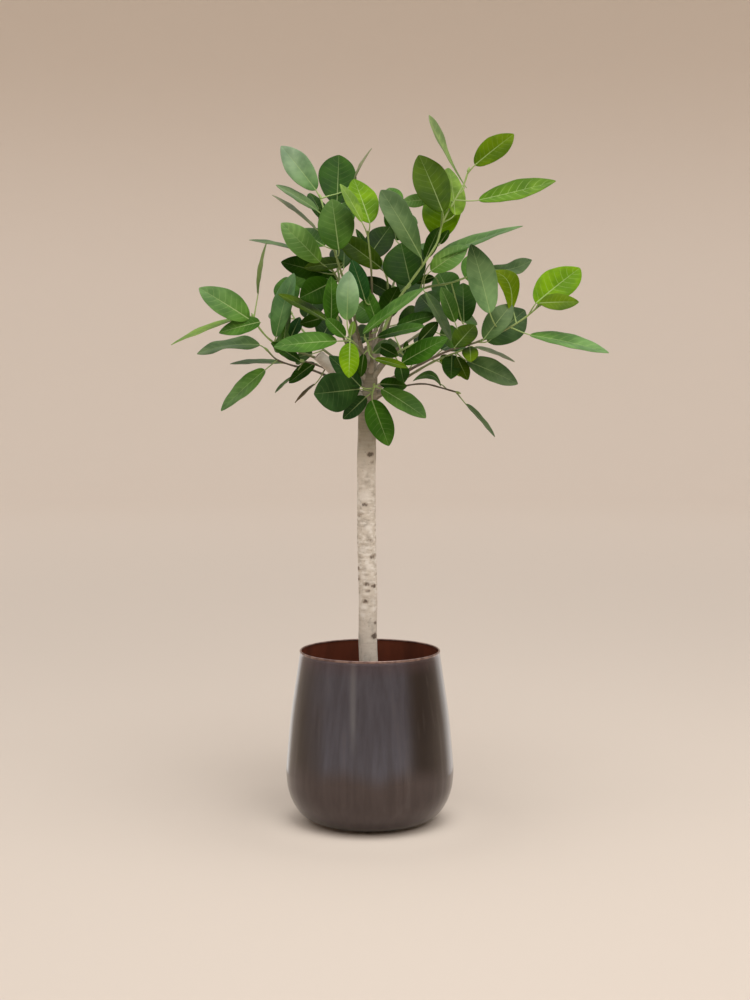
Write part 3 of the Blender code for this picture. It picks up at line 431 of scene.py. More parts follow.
SHOOTS = (
    Shoot(
        name="shoot_upper_left",
        wood_px=((367, 368, 2), (360, 342, 2)),
        stem_px=((350, 300, -16), (338, 262, -40), (330, 235, -54), (325, 214, -48), (321, 199, -40)),
        leaves=(
            Leaf((316, 190), (281, 146), 25, depth=-35, tone="pale"),
            Leaf((318, 211), (276, 185), 9, depth=-58, tone="grey"),
            Leaf((316, 229), (272, 195), 4, depth=-35, tone="dun"),
            Leaf((337, 204), (339, 155), 40, depth=-20, lean=100, tone="dark"),
            Leaf((339, 250), (332, 199), 36, depth=-100, lean=40, tone="mild"),
            Leaf((335, 245), (320, 208), 16, depth=-10, tone="dark"),
            Leaf((354, 180), (372, 148), 2, depth=10, tone="dun"),
        ),
    ),
    Shoot(
        name="shoot_top_middle",
        wood_px=((369, 362, 0), (371, 335, -12)),
        stem_px=((372, 300, -35), (371, 265, -55), (369, 245, -66), (368, 236, -70)),
        leaves=(
            Leaf((362, 222), (340, 184), 11, depth=-108, tone="young"),
            Leaf((370, 223), (354, 179), 28, depth=-90, tone="bright"),
            Leaf((365, 300), (352, 260), 18, depth=-80, tone="blue_dark"),
            Leaf((378, 328), (362, 283), 15, depth=-50, tone="mid"),
        ),
        ripe=1.0,
    ),
    Shoot(
        name="shoot_top_right",
        wood_px=((371, 366, 0), (382, 335, -8)),
        stem_px=(
            (395, 305, -22),
            (412, 280, -38),
            (425, 262, -48),
            (437, 243, -52),
            (443, 222, -50),
            (455, 200, -42),
            (464, 184, -36),
            (468, 172, -34),
        ),
        leaves=(
            Leaf((422, 259), (381, 190), 27, depth=-80, lean=-10, tone="grey", skew=1.5, wave=0.12),
            Leaf((430, 199), (402, 202), 14, depth=0, tone="glint"),
            Leaf((411, 286), (401, 243), 44, depth=-15, lean=80, tone="dark"),
            Leaf((426, 258), (440, 227), 14, depth=-30, tone="dark"),
            Leaf((440, 244), (449, 230), 8, depth=-28, tone="dark"),
            Leaf((443, 212), (419, 155), 34, depth=-85, tone="olive_dark"),
            Leaf((455, 215), (449, 168), 23, depth=-48, lean=70, tone="young"),
            Leaf((467, 188), (429, 115), 7, depth=-36, bow=(-4, -2), tone="pale_striped", skew=2.6),
            Leaf((440, 239), (444, 185), 38, depth=-26, lean=90, tone="bright"),
            Leaf((475, 165), (514, 134), 23, depth=-45, tone="olive"),
            Leaf((479, 200), (556, 181), 18, depth=-45, bow=(0, -2), lean=-40, tone="striped"),
        ),
        ripe=0.0,
    ),
    Shoot(
        name="shoot_right_upper",
        wood_px=((372, 374, 2), (386, 332, 22)),
        stem_px=((397, 305, 34), (425, 288, 42), (450, 283, 46), (470, 276, 50), (484, 271, 50)),
        leaves=(
            Leaf((434, 260), (523, 226), 10, depth=10, lean=20, bow=(0, 1), tone="sheen", skew=0.62),
            Leaf((431, 271), (468, 246), 21, depth=-12, tone="glint"),
            Leaf((488, 268), (532, 260), 14, depth=50, bow=(0, -6), tone="grey", skew=1.3, wave=0.16),
            Leaf((425, 292), (451, 341), 11, depth=-10, tone="grey"),
            Leaf((464, 322), (463, 283), 27, depth=80, lean=60, tone="dark"),
            Leaf((434, 277), (416, 283), 9, depth=40, tone="dark"),
        ),
    ),
    Shoot(
        name="shoot_right",
        wood_px=((368, 392, 0), (405, 372, -14)),
        stem_px=((448, 351, -36), (480, 341, -60), (505, 330, -75), (526, 317, -85), (539, 306, -90)),
        leaves=(
            # Its dark tip is painted shade.
            Leaf((490, 313), (471, 244), 28, depth=-115, tone="shade_tipped"),
            Leaf((511, 312), (488, 272), 20, depth=-65, bow=(8, 10), tone="arch", skew=1.1),
            Leaf((484, 339), (512, 304), 24, depth=-100, tone="grey"),
            Leaf((488, 342), (525, 310), 35, depth=-45, lean=70, tone="slate"),
            Leaf((536, 303), (580, 268), 33, depth=-105, tone="bright", skew=0.88),
            Leaf((540, 303), (579, 302), 16, depth=-108, tone="olive"),
            Leaf((530, 335), (609, 353), 13, depth=-100, lean=-40, tone="sheen", wave=0.0),
            Leaf((455, 322), (441, 287), 15, depth=-40, tone="mild"),
            Leaf((455, 347), (475, 325), 21, depth=-75, tone="olive_dark"),
        ),
        ripe=0.9,
    ),
    Shoot(
        name="shoot_right_lower",
        wood_px=((369, 399, 2), (402, 380, 30)),
        stem_px=((435, 361, 22), (455, 353, 8), (468, 348, 0)),
        leaves=(
            Leaf((467, 361), (518, 384), 21, depth=-15, tone="grey"),
            Leaf((452, 355), (451, 379), 20, depth=20, lean=-50, tone="dark"),
            Leaf((457, 357), (468, 380), 14, depth=0, tone="olive_dark"),
            Leaf((470, 347), (471, 362), 17, depth=-38, lean=-50, tone="olive"),
            Leaf((475, 347), (515, 362), 4, depth=15, tone="dun"),
        ),
    ),
    Shoot(
        name="twig_right",
        wood_px=((369, 404, 6), (386, 393, 30)),
        stem_px=((405, 386, 40), (425, 384, 40), (442, 388, 38), (456, 392, 36)),
        leaves=(
            Leaf((466, 404), (495, 437), 5, depth=30, tone="grey"),
            Leaf((441, 386), (413, 381), 8, depth=46, bow=(3, 8), tone="mild"),
        ),
        ripe=3.0,
        girth=0.6,
    ),
    Shoot(
        name="shoot_front_low",
        wood_px=((368, 400, -8), (371, 396, -32)),
        stem_px=((373, 391, -60), (374, 386, -80)),
        leaves=(
            Leaf((372, 400), (389, 446), 27, depth=-80, lean=-20, tone="mid"),
            Leaf((382, 389), (426, 418), 20, depth=-85, lean=-40, tone="mild"),
            Leaf((380, 384), (407, 386), 13, depth=-60, lean=30, tone="dark"),
            Leaf((360, 389), (314, 394), 38, depth=-75, lean=-90, tone="dusky", skew=1.25),
            Leaf((366, 397), (343, 419), 17, depth=-60, tone="dusky"),
            Leaf((361, 387), (329, 356), 18, depth=-80, lean=-10, tone="dusky"),
        ),
    ),
    Shoot(
        name="shoot_left",
        wood_px=((366, 386, 2), (335, 366, 16)),
        stem_px=((300, 352, 16), (281, 347, 8), (268, 338, -2), (258, 326, -12), (254, 318, -14)),
        leaves=(
            Leaf((249, 319), (199, 288), 27, depth=-30, tone="sheen"),
            Leaf((250, 315), (171, 345), 5, depth=5, tone="young"),
            Leaf((260, 322), (219, 333), 16, depth=-36, tone="light", skew=0.75),
            Leaf((258, 294), (267, 242), 4, depth=-5, tone="pale_striped"),
            Leaf((276, 337), (294, 273), 20, depth=-25, lean=15, tone="blue_green"),
            Leaf((284, 341), (290, 305), 9, depth=0, tone="light"),
            Leaf((291, 337), (300, 317), 12, depth=30, tone="blue_dark"),
        ),
    ),
    Shoot(
        name="shoot_left_lower",
        wood_px=((366, 396, 4), (340, 382, 52)),
        stem_px=((312, 370, 80), (291, 365, 92), (276, 359, 96), (268, 351, 98)),
        leaves=(
            Leaf((260, 345), (197, 354), 13, depth=105, bow=(0, 3), tone="grey", wave=0.14),
            Leaf((281, 363), (230, 364), 5, depth=125, tone="grey"),
            Leaf((265, 370), (221, 411), 16, depth=70, tone="sheen", skew=0.72, wave=0.05),
        ),
        ripe=2.0,
    ),
    Shoot(
        name="shoot_front_middle",
        wood_px=((369, 366, -8), (364, 357, -48)),
        stem_px=((358, 348, -100), (353, 342, -150), (350, 340, -185)),
        leaves=(
            Leaf((347, 320), (349, 271), 24, depth=-190, tone="palest"),
            Leaf((331, 322), (331, 276), 18, depth=-140, tone="mid"),
            Leaf((350, 343), (349, 378), 21, depth=-200, lean=-30, tone="bright"),
            Leaf((337, 341), (274, 347), 20, depth=-160, tone="light"),
            Leaf((345, 337), (326, 318), 14, depth=-165, tone="mid"),
            Leaf((351, 335), (354, 321), 7, depth=-190, tone="young"),
        ),
    ),
    Shoot(
        name="shoot_left_upper",
        wood_px=((367, 373, 6), (354, 335, 44)),
        stem_px=((346, 300, 58), (336, 276, 64), (326, 262, 66), (316, 253, 68), (306, 250, 70)),
        leaves=(
            Leaf((300, 251), (249, 240), 4, depth=75, tone="grey"),
            Leaf((320, 262), (281, 223), 25, depth=30, tone="glint"),
            Leaf((323, 273), (281, 262), 21, depth=70, tone="dark"),
            Leaf((343, 263), (304, 268), 14, depth=54, tone="olive_dark"),
            Leaf((338, 281), (301, 274), 18, depth=105, tone="dark"),
        ),
    ),
    Shoot(
        name="shoot_left_middle",
        wood_px=((366, 380, 0), (350, 352, -6)),
        stem_px=((340, 328, -14), (336, 305, -18), (335, 290, -20)),
        leaves=(
            Leaf((330, 283), (300, 298), 28, depth=-30, lean=-45, tone="dark"),
            Leaf((326, 320), (278, 294), 10, depth=-60, lean=-10, tone="olive_dark"),
            Leaf((322, 318), (300, 324), 14, depth=0, tone="dark"),
        ),
    ),
    Shoot(
        name="shoot_heart",
        wood_px=((370, 364, 6), (379, 335, 40)),
        stem_px=((386, 310, 62), (388, 290, 72), (386, 272, 78), (382, 262, 80)),
        leaves=(
            Leaf((381, 268), (338, 236), 23, depth=40, tone="olive_dark"),
            Leaf((368, 258), (390, 227), 28, depth=70, tone="deep"),
            Leaf((398, 298), (362, 278), 16, depth=110, tone="deep"),
            Leaf((382, 318), (398, 287), 23, depth=56, lean=6, tone="dark"),
            Leaf((368, 254), (356, 229), 7, depth=80, tone="dark"),
        ),
    ),
    Shoot(
        name="shoot_front_upper",
        wood_px=((371, 372, -6), (372, 361, -38)),
        stem_px=((371, 352, -70), (369, 345, -95), (366, 340, -112)),
        leaves=(
            Leaf((363, 334), (425, 288), 11, depth=-125, lean=-20, tone="light"),
            Leaf((378, 337), (425, 326), 11, depth=-105, tone="mid"),
            Leaf((375, 359), (408, 368), 8, depth=-130, tone="olive"),
            Leaf((379, 346), (398, 356), 14, depth=-60, tone="dark"),
            Leaf((374, 353), (388, 340), 10, depth=-70, tone="grey"),
            Leaf((364, 354), (361, 377), 10, depth=-80, tone="dark"),
        ),
    ),
    Shoot(
        name="shoot_right_middle",
        wood_px=((372, 380, -4), (386, 362, -18)),
        stem_px=((402, 350, -26), (416, 343, -30)),
        leaves=(
            Leaf((397, 326), (436, 315), 14, depth=-10, tone="dark"),
            Leaf((419, 342), (438, 322), 14, depth=-35, tone="deep"),
            Leaf((402, 363), (448, 338), 20, depth=-100, lean=-20, tone="mid"),
            Leaf((405, 354), (407, 341), 6, depth=-10, tone="dark"),
            Leaf((400, 365), (404, 383), 15, depth=-30, lean=-50, tone="dark"),
        ),
    ),
    Shoot(
        name="twig_left",
        wood_px=((362, 398, 4), (345, 380, 22)),
        stem_px=((330, 371, 20), (314, 364, 14), (304, 361, 8)),
        leaves=(
            Leaf((300, 361), (271, 343), 12, depth=-22, lean=-26, tone="dark"),
            Leaf((315, 363), (289, 383), 13, depth=28, tone="dark"),
            Leaf((292, 377), (275, 393), 3, depth=40, tone="grey"),
            Leaf((315, 384), (295, 403), 3, depth=30, tone="dry"),
        ),
        ripe=3.0,
        girth=0.6,
    ),
    Shoot(
        name="shoot_back_left_upper",
        wood_px=((367, 372, 8), (356, 338, 56)),
        stem_px=((346, 308, 92), (339, 276, 122), (335, 250, 140), (333, 224, 152), (334, 208, 156)),
        leaves=(
            Leaf((336, 200), (340, 164), 30, depth=170, lean=60, tone="mid"),
            Leaf((325, 222), (310, 193), 16, depth=165, lean=60, tone="dark"),
            Leaf((344, 232), (351, 196), 21, depth=175, lean=90, tone="mid"),
            Leaf((324, 246), (297, 230), 23, depth=160, lean=100, tone="light"),
            Leaf((344, 268), (346, 237), 28, depth=160, lean=120, tone="dark"),
            Leaf((330, 284), (294, 275), 28, depth=140, lean=90, tone="mid"),
        ),
    ),
    Shoot(
        name="shoot_back_top",
        wood_px=((369, 362, 10), (376, 328, 46)),
        stem_px=((388, 300, 84), (397, 272, 112), (402, 246, 134), (402, 226, 148), (400, 214, 152)),
        leaves=(
            Leaf((398, 206), (389, 188), 19, depth=165, lean=70, tone="light"),
            Leaf((408, 226), (399, 204), 16, depth=155, lean=110, tone="mid"),
            Leaf((396, 240), (390, 213), 17, depth=160, lean=80, tone="dark"),
            Leaf((409, 262), (421, 244), 19, depth=140, lean=120, tone="mid"),
            Leaf((394, 276), (382, 262), 18, depth=130, lean=110, tone="dark"),
            Leaf((400, 292), (416, 276), 30, depth=115, lean=100, tone="dark"),
        ),
    ),
    Shoot(
        name="shoot_back_right",
        wood_px=((373, 374, 10), (396, 350, 70)),
        stem_px=((422, 332, 132), (444, 318, 185), (458, 304, 225), (466, 292, 245)),
        leaves=(
            Leaf((470, 282), (479, 253), 26, depth=260, lean=80, tone="light"),
            Leaf((470, 299), (492, 287), 22, depth=250, lean=100, tone="mid"),
            Leaf((452, 298), (439, 273), 30, depth=235, lean=100, tone="dark"),
            Leaf((458, 318), (474, 318), 20, depth=215, lean=110, tone="mid"),
            Leaf((436, 314), (420, 296), 30, depth=180, lean=100, tone="dark"),
            Leaf((440, 334), (462, 341), 23, depth=160, lean=100, tone="mid"),
        ),
    ),
    Shoot(
        name="shoot_back_left",
        wood_px=((366, 384, 8), (346, 366, 70)),
        stem_px=((324, 350, 130), (308, 336, 182), (298, 324, 220), (292, 314, 240)),
        leaves=(
            Leaf((289, 306), (286, 277), 26, depth=255, lean=90, tone="mid"),
            Leaf((286, 318), (270, 313), 14, depth=240, lean=70, tone="grey"),
            Leaf((306, 318), (319, 293), 23, depth=235, lean=90, tone="dark"),
            Leaf((296, 338), (274, 345), 21, depth=205, lean=100, tone="mid"),
            Leaf((322, 338), (335, 313), 26, depth=165, lean=100, tone="dark"),
            Leaf((312, 354), (296, 358), 16, depth=140, lean=80, tone="dark"),
        ),
    ),
    Shoot(
        name="shoot_back_middle",
        wood_px=((371, 376, 10), (372, 362, 80)),
        stem_px=((376, 348, 150), (381, 334, 215), (386, 322, 265), (388, 314, 290)),
        leaves=(
            Leaf((390, 306), (394, 286), 30, depth=300, lean=90, tone="light"),
            Leaf((376, 318), (358, 305), 26, depth=285, lean=90, tone="mid"),
            Leaf((399, 324), (423, 315), 28, depth=260, lean=100, tone="dark"),
            Leaf((370, 338), (348, 336), 23, depth=210, lean=110, tone="dark"),
            Leaf((388, 348), (404, 352), 16, depth=180, lean=110, tone="mid"),
            Leaf((366, 356), (348, 363), 16, depth=130, lean=90, tone="dark"),
        ),
    ),
    Shoot(
        name="shoot_back_right_lower",
        wood_px=((372, 392, 8), (388, 382, 58)),
        stem_px=((408, 370, 115), (424, 362, 160), (436, 356, 195)),
        leaves=(
            Leaf((442, 350), (460, 341), 21, depth=210, lean=110, tone="mid"),
            Leaf((440, 362), (465, 371), 16, depth=195, lean=90, tone="olive"),
            Leaf((426, 352), (424, 334), 23, depth=175, lean=100, tone="dark"),
            Leaf((414, 362), (418, 342), 19, depth=125, lean=80, tone="dark"),
        ),
    ),
)


def colour_setting(name, description, default):
    return FloatVectorProperty(
        name=name, description=description, default=default, size=3, min=0, max=1, subtype="COLOR"
    )


def share_setting(name, description, default, most=1.0):
    return FloatProperty(
        name=name, description=description, default=default, min=0, max=most, subtype="FACTOR"
    )


def measured_setting(name, description, default, unit="LENGTH"):
    return FloatProperty(name=name, description=description, default=default, min=0, unit=unit)


def count_setting(name, description, default, least):
    return IntProperty(name=name, description=description, default=default, min=least)


class ViewSettings(bpy.types.PropertyGroup):
    """Where the front view is taken from."""

    distance: measured_setting("Distance", "From the camera to the trunk", -EYE.y)
    height: measured_setting("Height", "Of the camera over the floor", EYE.z)


class PotSettings(bpy.types.PropertyGroup):
    """Finish of the metal pot."""

    # Bronze near the lip, with the painted bluish reflection that it shows.
    upper_bronze_and_reflection: colour_setting(
        "Upper bronze", "Colour of the outside near the lip", (0.114, 0.116, 0.148)
    )
    # Bronze near the foot, with the painted brown reflection of the floor.
    lower_bronze_and_reflection: colour_setting(
        "Lower bronze", "Colour of the outside near the foot", (0.096, 0.077, 0.076)
    )
    inside_colour: colour_setting("Inside", "Colour of the inside", (0.210, 0.056, 0.028))
    roughness: share_setting("Roughness", "How far the metal's gloss is spread", 0.22)


class SoilSettings(bpy.types.PropertyGroup):
    """Surface of the potting soil."""

    clod_height: measured_setting("Clod height", "Height of the lumps in the soil", 0.004)
    chips: count_setting("Bark chips", "Number of bark chips that lie in the soil", 230, 0)
    colour: colour_setting("Soil", "Colour of the moist soil", (0.045, 0.026, 0.016))


class WoodSettings(bpy.types.PropertyGroup):
    """Bark of the trunk and limbs."""

    bark_colour: colour_setting("Bark", "Colour of the grown trunk", (0.64, 0.58, 0.50))
    # Colour of young wood, which also paints the crown's shadow on the trunk below its fork.
    young_wood_and_shade_colour: colour_setting("Young wood", "Colour of the thin limbs", (0.150, 0.130, 0.075))
    knot_colour: colour_setting("Knots", "Colour of the dark knots", (0.07, 0.045, 0.03))
    sides: count_setting("Sides", "Number of faces round the trunk", 48, 8)


class LeafSettings(bpy.types.PropertyGroup):
    """Shape and finish of the leaves."""

    rows: count_setting("Rows", "Number of rows of faces along a blade", 26, 6)
    vein_pairs: count_setting("Vein pairs", "Number of side veins on each half of a blade", 9, 2)
    vein_strength: share_setting("Vein strength", "How far the veins stand out in colour", 1.0, 2.0)
    roughness: share_setting("Roughness", "How far the upper side's gloss is spread", 0.42)
    light_through: share_setting(
        "Light through", "Share of the light that passes through a blade", 0.26
    )
    stem_colour: colour_setting(
        "Green stem", "Colour of the young stems and leaf stalks", (0.27, 0.38, 0.11)
    )


class StageSettings(bpy.types.PropertyGroup):
    """Floor and lights."""

    floor_colour: colour_setting(
        "Floor", "Colour of the floor and its upswept rim", (0.755, 0.662, 0.580)
    )
    top_power: measured_setting("Top light", "Power of the large light overhead", 62.0, "POWER")
    panel_power: measured_setting(
        "Panels", "Power of the two low panels that the pot's sides mirror", 0.21, "POWER"
    )
    sky: share_setting("Sky", "Strength of the soft light from all round", 1.0, 4.0)


class Value:
    """A number on a node's socket. Sums on it add Math nodes."""

    def __init__(self, finish, socket):
        self.finish = finish
        self.socket = socket

    def math(self, operation, *others):
        return self.finish.math(operation, self, *others)

    def __add__(self, other):
        return self.finish.math("ADD", self, other)

    def __radd__(self, other):
        return self.finish.math("ADD", other, self)

    def __sub__(self, other):
        return self.finish.math("SUBTRACT", self, other)

    def __rsub__(self, other):
        return self.finish.math("SUBTRACT", other, self)

    def __mul__(self, other):
        return self.finish.math("MULTIPLY", self, other)

    def __rmul__(self, other):
        return self.finish.math("MULTIPLY", other, self)

    def __truediv__(self, other):
        return self.finish.math("DIVIDE", self, other)

    def __rtruediv__(self, other):
        return self.finish.math("DIVIDE", other, self)

    def __pow__(self, other):
        return self.finish.math("POWER", self, other)

    def __abs__(self):
        return self.finish.math("ABSOLUTE", self)


class Finish:
    """A material that is built up from nodes."""

    def __init__(self, name):
        self.material = bpy.data.materials.new(name)
        self.material.use_nodes = True
        self.tree = self.material.node_tree
        self.tree.nodes.clear()

    def node(self, kind, settings=None, sockets=None, output=0):
        """A node of a type, with its settings and then its sockets' values or links."""
        made = self.tree.nodes.new("ShaderNode" + kind)
        for key, value in (settings or {}).items():
            setattr(made, key, value)
        for key, value in (sockets or {}).items():
            if isinstance(value, Value):
                self.tree.links.new(value.socket, made.inputs[key])
            elif value is not None:
                made.inputs[key].default_value = value
        return Value(self, made.outputs[output]) if made.outputs else None

    def math(self, operation, *values):
        return self.node("Math", {"operation": operation}, dict(enumerate(values)))

    def mix(self, factor, first, second, way="MIX"):
        """One colour passing into another, where the factor says."""
        settings = {"data_type": "RGBA", "blend_type": way}
        sockets = {0: factor, 6: opaque(first), 7: opaque(second)}
        return self.node("Mix", settings, sockets, 2)

    def between(self, value, low, high, start=0.0, end=1.0):
        """A smooth step from start to end, as the value goes from low to high."""
        sockets = {0: value, 1: low, 2: high, 3: start, 4: end}
        return self.node("MapRange", {"interpolation_type": "SMOOTHSTEP"}, sockets)

    def stain(self, colour, tint, value, low, high, start=0.0, end=1.0, among=None):
        """A colour with a tint mixed in, from start to end as the value goes from low to high.

        Among is a share that the tint's own share is multiplied by.
        """
        share = self.between(value, low, high, start, end)
        return self.mix(share if among is None else share * among, colour, tint)

    def scaled(self, vector, scale):
        sockets = {0: vector, 1: scale}
        return self.node("VectorMath", {"operation": "MULTIPLY"}, sockets)

    def cloud(self, vector, scale, detail=2.0, roughness=0.5):
        """Soft random values from 0 to 1."""
        sockets = {"Vector": vector, "Scale": scale, "Detail": detail, "Roughness": roughness}
        return self.node("TexNoise", None, sockets)

    def cells(self, vector, scale):
        """How far a point is from the edge of its random cell."""
        sockets = {"Vector": vector, "Scale": scale}
        return self.node("TexVoronoi", {"feature": "DISTANCE_TO_EDGE"}, sockets)

    def place(self):
        """Where a point is on the object, in metres."""
        return self.node("TexCoord", None, None, 3)

    def attribute(self, name, output=1):
        return self.node("Attribute", {"attribute_name": name}, None, output)

    def parts(self, vector):
        """The three numbers of a vector."""
        first = self.node("SeparateXYZ", None, {0: vector})
        return [Value(self, socket) for socket in first.socket.node.outputs]

    def bump(self, height, strength, distance):
        sockets = {"Height": height, "Strength": strength, "Distance": distance}
        return self.node("Bump", None, sockets)

    def surface(self, sockets):
        return self.node("BsdfPrincipled", None, sockets)

    def done(self, shader):
        self.node("OutputMaterial", None, {0: shader})
        return self.material


def opaque(colour):
    """A colour with its fourth number, or the value that holds one."""
    return colour if isinstance(colour, Value) else (*tuple(colour)[:3], 1.0)


def linear(tone):
    """A colour of 0 to 255 as the linear one that shaders use."""
    shares = [part / 255 for part in tone]
    return tuple(s / 12.92 if s <= 0.04045 else ((s + 0.055) / 1.055) ** 2.4 for s in shares)


def bronze_outside(pot):
    """Lacquered dark bronze, streaked, with painted reflections: bluish above the crease, brown in the
    bowl, a pale painted highlight and a dark painted reflection.
    """
    finish = Finish("bronze_outside")
    place = finish.place()
    across, _, height = finish.parts(place)
    side = across / POT_OUTSIDE[CREASE][0]
    streaks = finish.cloud(finish.scaled(place, STREAK_SCALE), 1.0, 4, 0.6)
    broad = finish.cloud(finish.scaled(place, SMEAR_SCALE), 1.0, 2)

    # Painted bluish reflection in the wall's middle, warmer towards the sides.
    off_middle = abs(side - BLUISH_REFLECTION_SIDE) + (broad - 0.5) * 0.5
    wall = finish.stain(pot.upper_bronze_and_reflection, WARM_BRONZE, off_middle, 0.36, 0.72)
    # Painted pale highlight strip, faded in above its lower height.
    high = finish.between(height, *HIGHLIGHT_HEIGHTS)
    wall = finish.stain(wall, HIGHLIGHT_BRONZE, abs(side - HIGHLIGHT_SIDE), 0.0, 0.06, 0.7, 0.0, high)
    # Painted dark reflection up the right of the wall.
    wall = finish.stain(wall, DARK_REFLECTION_BRONZE, abs(side - DARK_REFLECTION_SIDE), 0.0, 0.24, 0.60, 0.0)
    wall = finish.stain(wall, FLUSHED_BRONZE, height, *FLUSHED_HEIGHTS, 0.0, 0.5)
    # Painted brown reflection of the floor in the bowl, below the crease.
    wavering = height + (broad - 0.5) * 0.05
    metal = finish.stain(pot.lower_bronze_and_reflection, wall, wavering, *BOWL_EDGE_HEIGHTS)
    metal = finish.stain(metal, DARK_STREAKS, streaks, 0.35, 0.70, 0.0, 0.34)
    metal = finish.stain(metal, PALE_STREAKS, streaks, 0.30, 0.44, 0.22, 0.0)

    wear_and_foot_light = finish.cloud(place, 160, 3)
    rough = pot.roughness + (streaks - 0.5) * 0.16 + (wear_and_foot_light - 0.5) * 0.06
    dents = finish.cloud(finish.scaled(place, DENT_SCALE), 1.0, 2)
    shader = finish.surface(
        {
            "Base Color": metal,
            "Metallic": 0.92,
            "Roughness": rough,
            "Coat Weight": 0.30,
            "Coat Roughness": 0.14,
            "Normal": finish.bump(dents, 0.10, 0.004),
        }
    )
    return finish.done(shader)


def bronze_inside(pot):
    """Matt red-brown metal inside the pot."""
    finish = Finish("bronze_inside")
    place = finish.place()
    clouds = finish.cloud(finish.scaled(place, INSIDE_SCALE), 1.0, 4)
    colour = finish.stain(pot.inside_colour, DARK_INSIDE, clouds, 0.35, 0.7, 0.0, 0.6)
    shader = finish.surface(
        {
            "Base Color": colour,
            "Metallic": 0.35,
            "Roughness": finish.between(clouds, 0.3, 0.7, 0.45, 0.62),
        }
    )
    return finish.done(shader)


def bronze_lip():
    """Fine rubbed edge of the pot, paler and pinker than its wall with a painted highlight along its
    rounded edge.
    """
    finish = Finish("bronze_lip")
    rubbed = finish.cloud(finish.place(), 60, 3)
    colour = finish.stain(LIP_HIGHLIGHT, WORN_LIP, rubbed, 0.4, 0.65)
    shader = finish.surface({"Base Color": colour, "Metallic": 0.9, "Roughness": 0.32})
    return finish.done(shader)


def soil_finish(soil):
    """Moist dark soil with fine crumbs."""
    finish = Finish("potting_soil")
    place = finish.place()
    clouds = finish.cloud(place, 45, 5, 0.65)
    crumbs = finish.cells(place, 240)
    dark = [SOIL_SHADE * part for part in soil.colour]
    colour = finish.stain(dark, soil.colour, clouds, 0.35, 0.7)
    colour = finish.stain(colour, SOIL_CRACKS, crumbs, 0.0, 0.12, 0.5, 0.0)
    grains = clouds + 0.6 * crumbs
    shader = finish.surface(
        {
            "Base Color": colour,
            "Roughness": 0.95,
            "Normal": finish.bump(grains, 0.8, 0.004),
        }
    )
    return finish.done(shader)


def chip_finish():
    """Brown bark chips, each with its own shade."""
    finish = Finish("bark_chips")
    shade = finish.attribute("shade", 2)
    grain = finish.cloud(finish.scaled(finish.place(), CHIP_GRAIN_SCALE), 1.0, 3)
    colour = finish.mix(shade, DARK_CHIP, PALE_CHIP)
    colour = finish.stain(colour, CHIP_GRAIN, grain, 0.4, 0.7, 0.0, 0.5)
    shader = finish.surface(
        {"Base Color": colour, "Roughness": 0.85, "Normal": finish.bump(grain, 0.5, 0.001)}
    )
    return finish.done(shader)


def bark_finish(wood):
    """Pale bark with dark knots and faint rings, browner and greener on young wood and under the
    crown's painted shadow.

    The attribute "marks" holds knot darkness, pale patches and how young the wood is, with the crown's
    painted shadow below the fork.
    """
    finish = Finish("fig_bark")
    place = finish.place()
    knot, patch, young = finish.parts(finish.attribute("marks"))
    height = finish.parts(place)[2]
    scaly = finish.between(abs(height - SCALY_HEIGHT), 0.06, 0.20, 1.0, 0.25)
    clouds = finish.cloud(finish.scaled(place, BARK_CLOUD_SCALE), 1.0, 5, 0.6)
    rings = finish.cloud(finish.scaled(place, BARK_RING_SCALE), 1.0, 3, 0.5)
    flakes = finish.cloud(finish.scaled(place, BARK_FLAKE_SCALE), 1.0, 3, 0.55)
    specks = finish.cloud(finish.scaled(place, BARK_SPECK_SCALE), 1.0, 3)
    shaded = [BARK_SHADE * part for part in wood.bark_colour]
    colour = finish.stain(wood.bark_colour, shaded, clouds, 0.46, 0.72, 0.0, 0.55)
    colour = finish.stain(colour, BARK_RINGS, rings, 0.54, 0.72, 0.0, 0.20)
    colour = finish.stain(colour, PALE_FLAKES, flakes, 0.50, 0.62, 0.0, 0.80, scaly)
    colour = finish.stain(colour, DARK_FLAKES, flakes, 0.43, 0.32, 0.0, 0.50, scaly)
    colour = finish.stain(colour, BARK_SPECKS, specks, 0.62, 0.72, 0.0, 0.42)
    colour = finish.stain(colour, PALE_PATCHES, clouds, 0.3, 0.6, 0.6, 1.0, patch)
    grown = finish.stain(wood.young_wood_and_shade_colour, YOUNG_RINGS, rings, 0.3, 0.75)
    # Young bark, and the painted shadow of the crown on the trunk below its fork.
    colour = finish.mix(young, colour, grown)
    colour = finish.stain(colour, KNOT_HALO, knot, 0.0, 0.3, 0.0, 0.35)
    ragged = knot + (specks - 0.5) * 1.4 * finish.between(knot, 0.0, 0.3)
    colour = finish.stain(colour, wood.knot_colour, ragged, 0.24, 0.70, 0.0, 0.82)
    relief = clouds * 0.6 + rings * 0.3 + specks * 0.25 + flakes * scaly - knot * 0.7
    shader = finish.surface(
        {
            "Base Color": colour,
            "Roughness": finish.between(clouds, 0.3, 0.7, 0.68, 0.86),
            "Normal": finish.bump(relief, 0.55, 0.0022),
        }
    )
    return finish.done(shader)


def cut_finish():
    """Grey-beige end of the pruned limb, with a dark red heart."""
    finish = Finish("pruned_end")
    heart = finish.attribute("heart", 2)
    rough = finish.cloud(finish.place(), 300, 4)
    colour = finish.stain(CUT_HEART, CUT_WOOD, heart + (rough - 0.5) * 0.3, 0.25, 0.6)
    shader = finish.surface(
        {"Base Color": colour, "Roughness": 0.9, "Normal": finish.bump(rough, 0.6, 0.001)}
    )
    return finish.done(shader)


